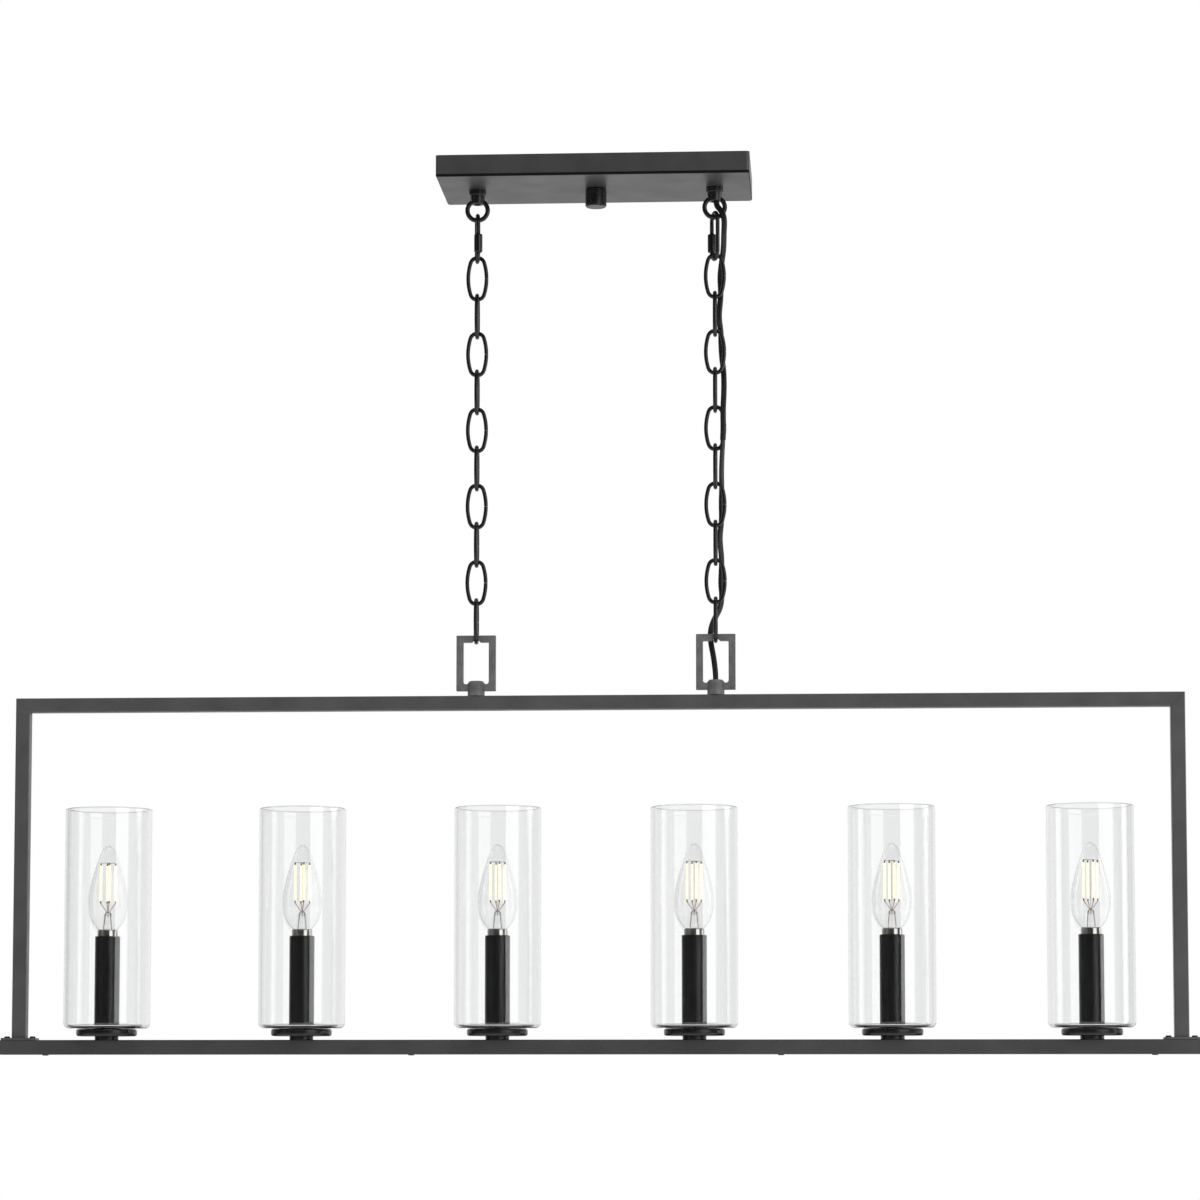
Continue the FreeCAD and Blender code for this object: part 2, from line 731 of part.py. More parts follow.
def socket_stem(x):
    """Bent strap that stands on the nipple and holds the socket at the height of the candle."""
    foot = pipe(stem_strap_spread, lamp_nipple_diameter + 2 * screw_gap,
                holder_step_z, stem_strap_foot_z, x)
    legs = foot
    for side in (-1, 1):
        inner = side * stem_strap_spread / 2
        outer = inner - side * stem_strap_thickness
        leg = block(x + min(inner, outer), x + max(inner, outer),
                    -stem_strap_width / 2, stem_strap_width / 2, holder_step_z, socket_bottom_z)
        round_foot = rod(stem_strap_spread, holder_step_z, socket_bottom_z, x)
        legs = legs.fuse(leg.common(round_foot))
    return legs.removeSplitter()


def socket_body(x):
    """Round insulating body with a bore for the bulb's cap."""
    radius = socket_diameter / 2
    bore = cap_shell_diameter / 2 + turn_gap + socket_lining
    return turned([(0, socket_bottom_z, 0), (radius, socket_bottom_z, 0.8),
                   (radius, socket_top_z, 0.8), (bore, socket_top_z, 0),
                   (bore, socket_floor_z, 0), (0, socket_floor_z, 0)], x)


def screw_shell(x):
    """Thin brass shell lining the socket's bore."""
    inner = cap_shell_diameter + 2 * turn_gap
    outer = inner + 2 * (socket_lining - screw_gap)
    return pipe(outer, inner, socket_floor_z, socket_top_z - 2 * socket_lining, x)


def glass_shade(x):
    """Glass cylinder with a rounded foot, a hole in its floor and a fire-polished rim."""
    outer = glass_diameter / 2
    inner = outer - glass_wall
    bottom = holder_top_z + lay_gap
    floor = bottom + glass_floor
    top = bottom + glass_height
    polish = glass_wall * 0.45
    return turned([(glass_hole_radius, bottom, 0.5), (outer, bottom, glass_corner),
                   (outer, top, polish), (inner, top, polish),
                   (inner, floor, max(glass_corner - glass_wall, 1.0)),
                   (glass_hole_radius, floor, 0.5)], x)


def candle_sleeve(x):
    return pipe(candle_diameter, candle_diameter - 2 * candle_wall, holder_step_z, candle_top_z, x)


def bulb_outline(inset):
    """Half outline of the bulb's glass as arcs, drawn in by a wall thickness."""
    foot = bulb_foot_diameter / 2 - inset
    widest = bulb_diameter / 2 - inset
    widest_z = collar_top_z + bulb_widest
    tip_radius = bulb_tip_radius - inset
    shoulder_z = collar_top_z + bulb_height - bulb_tip_radius
    tip = vector(0, 0, shoulder_z + tip_radius)
    foot_point = vector(foot, 0, collar_top_z)
    wide_point = vector(widest, 0, widest_z)
    shoulder = vector(tip_radius, 0, shoulder_z)
    belly = vector(foot + (widest - foot) * 0.72, 0, collar_top_z + bulb_widest * 0.40)
    flank = vector(tip_radius + (widest - tip_radius) * 0.66, 0,
                   widest_z + (shoulder_z - widest_z) * 0.53)
    tip_middle = vector(tip_radius * math.sin(math.pi / 4), 0,
                        shoulder_z + tip_radius * math.cos(math.pi / 4))
    axis_foot = vector(0, 0, collar_top_z)
    edges = [Part.Arc(foot_point, belly, wide_point).toShape(),
             Part.Arc(wide_point, flank, shoulder).toShape(),
             Part.Arc(shoulder, tip_middle, tip).toShape(),
             Part.LineSegment(tip, axis_foot).toShape(),
             Part.LineSegment(axis_foot, foot_point).toShape()]
    return Part.Wire(edges)


def bulb_glass(x):
    """Thin pointed envelope, open at its foot, where the cap closes it."""
    outside = Part.Face(bulb_outline(0)).revolve(vector(0, 0, 0), along_z, 360)
    inside = Part.Face(bulb_outline(bulb_wall)).revolve(vector(0, 0, 0), along_z, 360)
    shell = outside.cut(inside)
    shell.translate(vector(x, 0, 0))
    return shell


def bulb_mount(x):
    """Cap with its collar and screw shell, the glass stem on it, and the filaments round that."""
    collar = cap_collar_diameter / 2
    shell = cap_shell_diameter / 2
    shell_bottom = cap_collar_bottom_z - cap_shell_length
    stem = bulb_stem_diameter / 2
    stem_top = collar_top_z + bulb_stem_height
    cap = turned([(0, shell_bottom, 0), (shell * 0.45, shell_bottom, 0),
                  (shell, shell_bottom + shell * 0.5, 0), (shell, cap_collar_bottom_z, 0),
                  (collar, cap_collar_bottom_z + 1.5, 0), (collar, collar_top_z, 0.6),
                  (0, collar_top_z, 0)], x)
    stem_post = turned([(0, collar_top_z, 0), (stem, collar_top_z, 0),
                        (stem * 0.8, stem_top, 1.0), (0, stem_top, 0)], x)
    solids = [cap, stem_post]
    low = collar_top_z + filament_lift
    for n in range(filament_count):
        angle = math.radians(45 + 360 * n / filament_count)
        solids.append(rod(filament_diameter, low, low + filament_length,
                          x + filament_circle / 2 * math.cos(angle),
                          filament_circle / 2 * math.sin(angle)))
    return solids


def filament_wires(x):
    """Middle wire on the glass stem, with a spoked ring under and over the filaments."""
    stem_top = collar_top_z + bulb_stem_height
    low = collar_top_z + filament_lift - filament_plate
    high = collar_top_z + filament_lift + filament_length
    ring_outer = filament_circle + filament_diameter
    ring_inner = filament_circle - filament_diameter
    spoke_end = ring_inner / 2 + filament_plate / 2
    spoke_side = filament_plate / 2
    frame = rod(filament_diameter, stem_top - spoke_side, high + 2 * filament_plate, x)
    for level in (low, high):
        ring = pipe(ring_outer, ring_inner, level, level + filament_plate, x)
        spokes = block(x - spoke_end, x + spoke_end, -spoke_side, spoke_side,
                       level, level + filament_plate)
        frame = frame.multiFuse([ring, spokes])
    return frame.removeSplitter()


# ---- Cord and wiring --------------------------------------------------------

# Middle line of the supply cord, from the right ring loop down to the right frame loop:
# offset from the chain along X, offset along Y, and level. It weaves past the links in turn.
cord_points = [
    (0.0, 0.0, cord_start_z),
    (0.0, 0.2, -34.9),
    (6.6, -5.4, -42.4),
    (9.1, -7.1, -50.7),
    (8.4, -4.6, -62.5),
    (8.0, 1.7, -75.5),
    (5.9, 6.4, -88.0),
    (4.4, 7.4, -100.5),
    (5.3, 6.7, -113.0),
    (4.6, 2.8, -126.0),
    (3.4, 1.9, -138.0),
    (5.2, 5.8, -150.5),
    (5.3, 6.9, -162.5),
    (6.0, 6.3, -174.5),
    (7.6, 5.6, -187.5),
    (8.0, 1.2, -201.0),
    (7.8, -4.6, -213.0),
    (7.2, -6.8, -226.0),
    (7.5, -6.4, -241.0),
    (6.8, -5.9, -256.0),
    (5.9, -2.2, -269.0),
    (5.4, 3.4, -281.0),
    (5.6, 6.4, -294.0),
    (5.0, 6.9, -307.0),
    (5.5, 6.5, -322.0),
    (3.9, 2.3, -336.0),
    (4.2, 2.8, -346.0),
    (5.4, 6.3, -357.0),
    (5.0, 6.9, -369.0),
    (4.4, 6.6, -380.0),
    (5.6, 6.0, -391.0),
    (4.2, 3.6, -402.5),
    (-1.9, 3.0, -413.0),
    (-5.1, 5.8, -422.5),
    (-4.7, 7.1, -433.0),
    (-2.4, 4.4, -444.5),
    (-0.9, 1.6, -455.0),
    (0.0, 0.0, -465.5),
    (0.0, 0.0, cord_end_z),
]


def supply_cord():
    points = [vector(right_x + x, y, z) for x, y, z in cord_points]
    solid, path, radii = cord_along(points, cord_diameter)
    area = math.pi * cord_diameter ** 2 / 4
    print("supply cord: length %.1f mm, volume over section times length %.4f"
          % (path.Length, solid.Volume / (area * path.Length)))
    print("supply cord radii: " + ", ".join("%.0f" % radius for radius in radii))
    return solid


def supply_leads():
    """Leads from the cord's end to the wire connectors in the canopy."""
    level = cord_start_z + screw_gap
    leads = []
    for n, (x, y) in enumerate(connector_places):
        y_start = (2 * n - 1) * lead_spread
        points = [vector(right_x, y_start, level),
                  vector(right_x, y_start, level + lead_rise),
                  vector(right_x - lead_turn, y_start + lead_turn / 2, level + lead_rise),
                  vector(x + lead_turn, y - lead_spread * (1 + n), level + lead_diameter / 2),
                  vector(x, y, level + screw_gap)]
        leads.append(cord_along(points, lead_diameter)[0])
    return leads


def wire_connectors():
    """Tapered connectors that join the leads to the house wiring."""
    caps = []
    for x, y in connector_places:
        cap = turned([(0, 0, 0), (connector_diameter / 2, 0, 0.6),
                      (connector_diameter * 0.36, connector_length, 1.2), (0, connector_length, 0)])
        cap.rotate(vector(0, 0, 0), along_y, -90)
        cap.translate(vector(x - turn_gap, y, cord_start_z + 2 * screw_gap))
        caps.append(cap)
    return caps


def inner_wiring():
    """Wiring from the cord's end through the tube and the right upright, with a lead to every lamp."""
    level = bar_bottom_z + cover_thickness + wiring_above_cover
    beside = (bar_depth - wiring_diameter) / 2 - bar_wall - wiring_diameter / 3
    bend = tube_size * 0.6
    points = [vector(right_x, 0, cord_end_z - lay_gap),
              vector(right_x, 0, tube_middle_z + 0.6),
              vector(right_x + bend, 0, tube_middle_z - 1.0),
              vector(upright_x - bend, 0, tube_middle_z),
              vector(upright_x, 0, tube_middle_z - bend),
              vector(upright_x, 0, level + wiring_diameter),
              vector(upright_x - bend / 2, beside / 2, level),
              vector(upright_x - 2 * bend, beside, level),
              vector(lamp_places[0], beside, level)]
    wiring = [cord_along(points, wiring_diameter)[0]]
    lead_y = beside - (wiring_diameter + lead_diameter) / 2 - screw_gap
    for x in lamp_places:
        lead_points = [vector(x + lead_turn, lead_y, level),
                       vector(x + lead_turn / 2, lead_y / 2, level),
                       vector(x, 0, level + screw_gap), vector(x, 0, socket_bottom_z - lay_gap)]
        wiring.append(cord_along(lead_points, lead_diameter)[0])
    return wiring


def main():
    os.makedirs("parts", exist_ok=True)
    save("canopy_cover", canopy_cover())
    save("canopy_stiffener", canopy_stiffener())
    save("mounting_strap", mounting_strap())
    save("ground_screw", ground_screw())
    save("strap_stud", strap_stud())
    save("stud_nut", stud_nut())
    save("canopy_knob", canopy_knob())
    save("loop_fasteners", *loop_fasteners())
    save("wire_connectors", *wire_connectors())
    save("supply_leads", *supply_leads())
    for side, x, turn in (("left", left_x, quick_turn_left), ("right", right_x, quick_turn_right)):
        save("canopy_loop_" + side, canopy_loop(x))
        save("quick_link_" + side, quick_link(x, turn))
        save("link_sleeve_" + side, link_sleeve(x, turn))
        links = chain_links(x)
        save("chain_" + side, *links[:-1])
        save("end_link_" + side, links[-1])
        save("frame_loop_" + side, frame_loop(x))
    save("supply_cord", supply_cord())
    save("top_tube", top_tube())
    for side, sign in (("left", -1), ("right", 1)):
        save("upright_" + side, upright(sign))
        save("foot_plate_" + side, foot_plate(sign))
    save("frame_screws", *foot_screws(), *cover_screws())
    save("bottom_bar", bottom_bar())
    save("bar_cover", bar_cover())
    save("cover_bridges", *cover_screw_posts())
    save("loop_nipples", *loop_nipples())
    save("inner_wiring", *inner_wiring())
    save("lamp_necks", *[lamp_neck(x) for x in lamp_places])
    save("glass_holders", *[glass_holder(x) for x in lamp_places])
    save("lamp_nipples", *[lamp_nipple(x) for x in lamp_places])
    save("lamp_nuts", *[lamp_nut(x) for x in lamp_places])
    save("socket_stems", *[socket_stem(x) for x in lamp_places])
    save("socket_bodies", *[socket_body(x) for x in lamp_places])
    save("screw_shells", *[screw_shell(x) for x in lamp_places])
    save("candle_sleeves", *[candle_sleeve(x) for x in lamp_places])
    for n, x in enumerate(lamp_places, 1):
        save("glass_shade_%d" % n, glass_shade(x))
        save("bulb_glass_%d" % n, bulb_glass(x))
        save("bulb_mount_%d" % n, *bulb_mount(x), filament_wires(x))


main()
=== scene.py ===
import math

import bmesh
import bpy
from bpy.props import FloatProperty, FloatVectorProperty, IntProperty
from mathutils import Matrix, Vector


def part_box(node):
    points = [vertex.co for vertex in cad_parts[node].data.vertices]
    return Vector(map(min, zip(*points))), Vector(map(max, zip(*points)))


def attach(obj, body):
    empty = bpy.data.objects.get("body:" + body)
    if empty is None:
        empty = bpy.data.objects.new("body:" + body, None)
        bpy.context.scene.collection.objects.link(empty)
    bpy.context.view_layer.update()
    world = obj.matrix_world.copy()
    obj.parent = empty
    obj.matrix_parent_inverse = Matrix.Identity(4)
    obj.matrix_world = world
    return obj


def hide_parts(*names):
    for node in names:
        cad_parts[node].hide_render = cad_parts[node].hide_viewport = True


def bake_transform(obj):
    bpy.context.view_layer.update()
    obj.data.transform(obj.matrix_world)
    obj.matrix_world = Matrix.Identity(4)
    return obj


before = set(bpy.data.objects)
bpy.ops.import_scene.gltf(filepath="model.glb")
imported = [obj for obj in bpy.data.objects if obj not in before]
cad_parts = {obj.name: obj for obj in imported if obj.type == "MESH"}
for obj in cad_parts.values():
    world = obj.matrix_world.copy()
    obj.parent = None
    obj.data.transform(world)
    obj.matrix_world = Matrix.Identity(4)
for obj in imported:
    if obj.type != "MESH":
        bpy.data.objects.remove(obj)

bl_info = {
    "name": "Linear Island Pendant",
    "version": (1, 0, 0),
    "blender": (4, 5, 0),
    "location": "3D View > Sidebar > Pendant",
    "description": "Dresses a chain-hung linear pendant with six candle lamps in glass cylinders",
    "category": "Add Mesh",
}

# Lengths are in millimetres until a piece is finished, and metres from there on.
MM = 0.001
LAMPS = sum(1 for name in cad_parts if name.startswith("glass_shade_"))
SIDES = ("left", "right")


def span(node):
    """Lowest and highest corner of a CAD node in millimetres."""
    low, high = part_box(node)
    return low / MM, high / MM


def middle(node):
    low, high = span(node)
    return (low + high) / 2


CHAIN_X = {side: middle("chain_" + side).x for side in SIDES}
CANOPY_LOW, CANOPY_HIGH = span("canopy_cover")
LAMP_X = [middle("glass_shade_%d" % n).x for n in range(1, LAMPS + 1)]


# ---- Colours and materials ---------------------------------------------------

def linear(hex_colour):
    """sRGB hex to linear red, green and blue."""
    channels = [int(hex_colour[n:n + 2], 16) / 255 for n in (1, 3, 5)]
    return tuple(c / 12.92 if c <= 0.04045 else ((c + 0.055) / 1.055) ** 2.4 for c in channels)


def shade(colour, factor):
    return tuple(min(1.0, c * factor) for c in colour)


def per_mm(size):
    """Noise scale whose lumps are about this many millimetres across."""
    return 1 / (size * MM)


def add_node(owner, kind, settings=None, links=None):
    """Adds a node with its settings, its ramp's stops and its links from nodes or outputs."""
    node = owner.node_tree.nodes.new(kind)
    for name, value in (settings or {}).items():
        if name == "stops":
            for element, (position, colour) in zip(node.color_ramp.elements, value):
                element.position = position
                element.color = (*colour, 1.0)
        elif name in node.inputs:
            node.inputs[name].default_value = value
        else:
            setattr(node, name, value)
    for name, source in (links or {}).items():
        output = source.outputs[0] if isinstance(source, bpy.types.Node) else source
        owner.node_tree.links.new(output, node.inputs[name])
    return node


def new_material(name):
    material = bpy.data.materials.new(name)
    material.use_nodes = True
    material.node_tree.nodes.clear()
    return material


def grained(name, colour, tones, roughness, cloud_mm, skin_mm, depth_mm, settings, stretch=1.0):
    """Opaque surface: tone and sheen follow one noise and a fine relief another.

    tones and roughness are (least, most); stretch below 1 draws the pattern out along Z.
    """
    colour = getattr(COLOURS, colour)
    material = new_material(name)
    here = add_node(material, "ShaderNodeMapping", {"Scale": (1.0, 1.0, stretch)},
                    {"Vector": add_node(material, "ShaderNodeTexCoord").outputs["Object"]})
    cloud = add_node(material, "ShaderNodeTexNoise", {"Scale": per_mm(cloud_mm), "Detail": 4.0},
                     {"Vector": here})
    skin = add_node(material, "ShaderNodeTexNoise", {"Scale": per_mm(skin_mm), "Detail": 2.0},
                    {"Vector": here})
    tone = add_node(material, "ShaderNodeValToRGB",
                    {"stops": [(0.3, shade(colour, tones[0])), (0.7, shade(colour, tones[1]))]},
                    {"Fac": cloud})
    sheen = add_node(material, "ShaderNodeMapRange",
                     {"From Min": 0.3, "From Max": 0.7,
                      "To Min": roughness[0], "To Max": roughness[1]}, {"Value": cloud})
    relief = add_node(material, "ShaderNodeBump", {"Distance": depth_mm * MM}, {"Height": skin})
    shader = add_node(material, "ShaderNodeBsdfPrincipled", settings,
                      {"Base Color": tone, "Roughness": sheen, "Normal": relief})
    add_node(material, "ShaderNodeOutputMaterial", links={"Surface": shader})
    return material


# The finishes with a grain, each with its material's name and then what grained takes.
METAL = {"Metallic": 1.0}
COAT = {"IOR": 1.5}
GRAINED = {
    # Polyester powder, sprayed and baked on sheet steel: charcoal, satin, faint orange peel.
    # The peel of a real coat is about 0.5 mm; it is drawn at 0.9 mm so that it shows.
    "powder_coat": ("satin_powder_coat", "powder", (0.9, 1.1), (0.36, 0.46), 30.0, 0.9, 0.012,
                    COAT),
    # The same powder on the long bar, painted a shade darker all over as painted shade for where
    # it lies level.
    "bar_coat": ("satin_powder_coat_bar", "bar", (0.9, 1.1), (0.36, 0.46), 30.0, 0.9, 0.012, COAT),
    # Satin paint on a zinc casting: paler than the powder, with a sandy skin from the mould.
    "casting_paint": ("painted_zinc_casting", "casting", (0.82, 1.18), (0.36, 0.5), 9.0, 0.7, 0.03,
                      COAT),
    # Black paint on turned steel: close-grained and dark, with a soft narrow highlight.
    "turned_paint": ("painted_turned_steel", "turned", (0.9, 1.25), (0.25, 0.33), 7.0, 0.7, 0.005,
                     COAT),
    # Enamel baked on bent steel wire: near black, glossier than powder, thinned on its bends.
    "wire_enamel": ("baked_wire_enamel", "chain", (0.95, 1.3), (0.22, 0.28), 9.0, 2.5, 0.002,
                    COAT),
    # Black tube drawn through a die: satin, with faint lines along it.
    "candle_tube": ("drawn_candle_tube", "candle", (0.9, 1.15), (0.29, 0.33), 3.0, 3.0, 0.0003,
                    COAT, 0.03),
    # Zinc plated steel, left as it came from the bath: pale grey with a patchy spangle.
    "zinc_plate": ("zinc_plated_steel", "zinc", (0.84, 1.0), (0.28, 0.45), 2.2, 1.1, 0.004, METAL),
    # Nickel plated on pressed brass: a bright warm grey that mirrors its surroundings.
    "nickel_plate": ("nickel_plated_brass", "nickel", (0.88, 1.0), (0.1, 0.2), 3.0, 1.5, 0.004,
                     METAL),
    # Brass rolled into a screw shell: yellow, half bright, with small marks from the rolls.
    "rolled_brass": ("rolled_brass", "brass", (0.84, 1.0), (0.22, 0.38), 2.0, 1.0, 0.004, METAL),
    # Copper clad support wire, drawn and lacquered: brown-red and half bright.
    "coppered_wire": ("copper_clad_wire", "copper", (0.8, 1.0), (0.25, 0.4), 1.2, 0.6, 0.004,
                      METAL),
    # Phenolic pressed in a hot mould: dark brown, half matt, even all over.
    "phenolic": ("moulded_phenolic", "phenolic", (0.85, 1.1), (0.35, 0.5), 6.0, 1.5, 0.02,
                 {"IOR": 1.6}),
    # Green dyed zinc plating: the colour that marks an earthing screw, half bright.
    "green_screw": ("green_dyed_zinc", "green", (0.85, 1.1), (0.3, 0.45), 2.0, 0.9, 0.01, METAL),
    # Nylon moulded into a wire connector: strong orange with a waxy sheen.
    "nylon_cap": ("moulded_nylon_connector", "connector", (0.85, 1.1), (0.4, 0.55), 5.0, 1.5, 0.02,
                  {"IOR": 1.53}),
    # PVC extruded on a conductor, black: dull, slightly wavy skin.
    "black_lead": ("black_pvc_lead", "lead_black", (0.85, 1.2), (0.4, 0.5), 4.0, 1.2, 0.02,
                   {"IOR": 1.52}),
    # PVC extruded on a conductor, white: dull, slightly wavy skin.
    "white_lead": ("white_pvc_lead", "lead_white", (0.9, 1.05), (0.4, 0.5), 4.0, 1.2, 0.02,
                   {"IOR": 1.52}),
}


# Painted shade: a near-black line painted along the canopy's fold, in place of the dark reflection
# in its rounded edge.
# The values are the share of the colour that it keeps, its specular level and that of the coat
# round it, the heights above the underside up to which it is full and at which it ends, and how
# level a face is, from 0 on a wall to 1 on the underside, where the line starts and where it is
# full.
FOLD_PAINTED_SHADE, FOLD_GLOSS, COAT_GLOSS = 0.15, 0.04, 0.5
FOLD_FULL, FOLD_END = 2.0, 2.8
FOLD_LEVEL, FOLD_STEEP = 0.97, 0.85


def canopy_coat():
    """The same powder on the canopy, painted darker as shade, with a painted near-black shade line
    along the fold.
    """
    material = grained("satin_powder_coat_canopy", "canopy", (0.9, 1.1), (0.34, 0.44), 30.0,
                       0.9, 0.012, COAT)
    shader = next(node for node in material.node_tree.nodes if node.type == "BSDF_PRINCIPLED")
    tone = shader.inputs["Base Color"].links[0].from_socket
    place = add_node(material, "ShaderNodeTexCoord")
    height = add_node(material, "ShaderNodeSeparateXYZ", links={"Vector": place.outputs["Object"]})
    facing = add_node(material, "ShaderNodeSeparateXYZ", links={"Vector": place.outputs["Normal"]})
    # The painted shade falls only on the walls and the bend, and not on the sheet that lies level.
    level = add_node(material, "ShaderNodeMath", {"operation": "ABSOLUTE"},
                     {"Value": facing.outputs["Z"]})
    fold_painted_shade_depth = add_node(material, "ShaderNodeMapRange",
                       {"From Min": FOLD_LEVEL, "From Max": FOLD_STEEP,
                        "To Min": 1.0, "To Max": FOLD_PAINTED_SHADE}, {"Value": level})
    fold = CANOPY_LOW.z * MM
    line = add_node(material, "ShaderNodeMapRange",
                    {"From Min": fold + FOLD_FULL * MM, "From Max": fold + FOLD_END * MM,
                     "To Max": 1.0}, {"Value": height.outputs["Z"], "To Min": fold_painted_shade_depth})
    # Painted shade: along the fold the colour darkens and the specular level drops.
    dark = add_node(material, "ShaderNodeHueSaturation", links={"Value": line, "Color": tone})
    dull = add_node(material, "ShaderNodeMapRange",
                    {"From Min": FOLD_PAINTED_SHADE, "From Max": 1.0,
                     "To Min": FOLD_GLOSS, "To Max": COAT_GLOSS}, {"Value": line})
    material.node_tree.links.new(dark.outputs["Color"], shader.inputs["Base Color"])
    material.node_tree.links.new(dull.outputs["Result"], shader.inputs["Specular IOR Level"])
    return material


def cord_vinyl():
    """PVC extruded on the cord: black and dull, with drag lines from the die along it."""
    material = new_material("extruded_pvc_cord")
    place = add_node(material, "ShaderNodeTexCoord")
    # U runs once round the cord, and Scale 1 gives 20 / tau bands there: ten lines from the die.
    lines = add_node(material, "ShaderNodeTexWave",
                     {"bands_direction": "X", "Scale": 10 * math.tau / 20},
                     {"Vector": place.outputs["UV"]})
    scuff = add_node(material, "ShaderNodeTexNoise", {"Scale": per_mm(2.4), "Detail": 4.0},
                     {"Vector": place.outputs["Object"]})
    tone = add_node(material, "ShaderNodeValToRGB",
                    {"stops": [(0.3, tuple(COLOURS.cord)), (0.8, shade(COLOURS.cord, 2.0))]},
                    {"Fac": scuff})
    sheen = add_node(material, "ShaderNodeMapRange",
                     {"From Min": 0.3, "From Max": 0.7, "To Min": 0.38, "To Max": 0.55},
                     {"Value": scuff})
    relief = add_node(material, "ShaderNodeBump", {"Strength": 0.5, "Distance": 0.05 * MM},
                      {"Height": lines})
    shader = add_node(material, "ShaderNodeBsdfPrincipled", {"IOR": 1.52},
                      {"Base Color": tone, "Roughness": sheen, "Normal": relief})
    add_node(material, "ShaderNodeOutputMaterial", links={"Surface": shader})
    return material


def clear_glass(name, ripple_mm, depth_mm, density, ior=1.52):
    """Soda-lime glass: a trace of ripple, a few finger-wide smears, grey only seen edge on."""
    material = new_material(name)
    here = add_node(material, "ShaderNodeTexCoord").outputs["Object"]
    ripple = add_node(material, "ShaderNodeTexNoise", {"Scale": per_mm(ripple_mm), "Detail": 1.0},
                      {"Vector": here})
    relief = add_node(material, "ShaderNodeBump", {"Strength": 0.4, "Distance": depth_mm * MM},
                      {"Height": ripple})
    smear = add_node(material, "ShaderNodeTexNoise", {"Scale": per_mm(45.0), "Detail": 3.0},
                     {"Vector": here})
    haze = add_node(material, "ShaderNodeMapRange",
                    {"From Min": 0.45, "From Max": 0.8, "To Min": 0.0, "To Max": 0.03},
                    {"Value": smear})
    shader = add_node(material, "ShaderNodeBsdfPrincipled",
                      {"Base Color": (1, 1, 1, 1), "IOR": ior, "Transmission Weight": 1.0},
                      {"Roughness": haze, "Normal": relief})
    body = add_node(material, "ShaderNodeVolumeAbsorption",
                    {"Color": (*COLOURS.glass, 1.0), "Density": density})
    add_node(material, "ShaderNodeOutputMaterial", links={"Surface": shader, "Volume": body})
    return material


def shade_glass():
    """Cylinder blown and drawn from clear glass: long soft ripples, pale grey where thick."""
    return clear_glass("clear_cylinder_glass", 60.0, 0.006, 36.0)


def bulb_glass():
    """Thin bulb glass, blown in a mould: almost unseen but for its outline."""
    # A lower index than real glass keeps the thin wall as faint as it looks.
    return clear_glass("thin_bulb_glass", 30.0, 0.006, 45.0, 1.32)


def stem_glass():
    """Glass pressed round the wires of the bulb: thick and uneven, so it glints."""
    return clear_glass("pressed_stem_glass", 3.0, 0.03, 20.0)


def lit_strip():
    """Phosphor on a glass rod, lit: warm white, deeper in colour between its beads."""
    material = new_material("lit_phosphor_strip")
    beads = add_node(material, "ShaderNodeTexNoise", {"Scale": per_mm(1.6), "Detail": 1.0},
                     {"Vector": add_node(material, "ShaderNodeTexCoord").outputs["Object"]})
    glow = add_node(material, "ShaderNodeValToRGB",
                    {"stops": [(0.35, tuple(COLOURS.glow_deep)), (0.6, tuple(COLOURS.glow))]},
                    {"Fac": beads})
    shader = add_node(material, "ShaderNodeBsdfPrincipled",
                      {"Roughness": 0.6, "Emission Strength": COLOURS.glow_strength},
                      {"Base Color": glow, "Emission Color": glow})
    add_node(material, "ShaderNodeOutputMaterial", links={"Surface": shader})
    return material


MAKERS = {"canopy_coat": canopy_coat, "cord_vinyl": cord_vinyl, "shade_glass": shade_glass,
          "bulb_glass": bulb_glass, "stem_glass": stem_glass, "lit_strip": lit_strip}
_made = {}


def finish_from(finish):
    """The material of a finish, made the first time it is asked for."""
    if finish not in _made:
        _made[finish] = MAKERS[finish]() if finish in MAKERS else grained(*GRAINED[finish])
    return _made[finish]


# ---- Mesh building -------------------------------------------------------------

def finish_piece(name, bm, finish, body, nodes, smooth_degrees=35.0, weld=0.001):
    """Turns a bmesh in millimetres into a piece in metres that rides on a body."""
    if weld:
        bmesh.ops.remove_doubles(bm, verts=bm.verts[:], dist=weld)
    bmesh.ops.recalc_face_normals(bm, faces=bm.faces[:])
    bmesh.ops.scale(bm, vec=(MM, MM, MM), verts=bm.verts[:])
    mesh = bpy.data.meshes.new(name)
    bm.to_mesh(mesh)
    bm.free()
    mesh.polygons.foreach_set("use_smooth", [True] * len(mesh.polygons))
    mesh.set_sharp_from_angle(angle=math.radians(smooth_degrees))
    piece = bpy.data.objects.new(name, mesh)
    bpy.context.scene.collection.objects.link(piece)
    piece.data.materials.append(finish_from(finish))
    # Large faces keep their own direction, so that only the roundings between them shade softly.
    even = piece.modifiers.new("even_shading", "WEIGHTED_NORMAL")
    even.keep_sharp = True
    if body:
        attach(piece, body)
    if nodes:
        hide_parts(*nodes)
    return piece


def bevel_edges(bm, edges, radius, segments):
    bmesh.ops.bevel(bm, geom=edges, offset=radius, offset_type="OFFSET", segments=segments,
                    profile=0.5, affect="EDGES", clamp_overlap=True, material=-1)


def sharp_edges(bm, radians, level=None):
    """Edges folded by more than an angle, all of them or those at one height."""
    return [edge for edge in bm.edges
            if len(edge.link_faces) == 2 and edge.calc_face_angle(0) > radians
            and (level is None or all(abs(v.co.z - level) < 1e-3 for v in edge.verts))]


def edges_at(verts):
    """Edges that meet the vertices, each once and in the same order at every run."""
    return list(dict.fromkeys(edge for v in verts for edge in v.link_edges))


def verts_of(geometry):
    return [g for g in geometry if isinstance(g, bmesh.types.BMVert)]


def edges_of(geometry):
    return [g for g in geometry if isinstance(g, bmesh.types.BMEdge)]


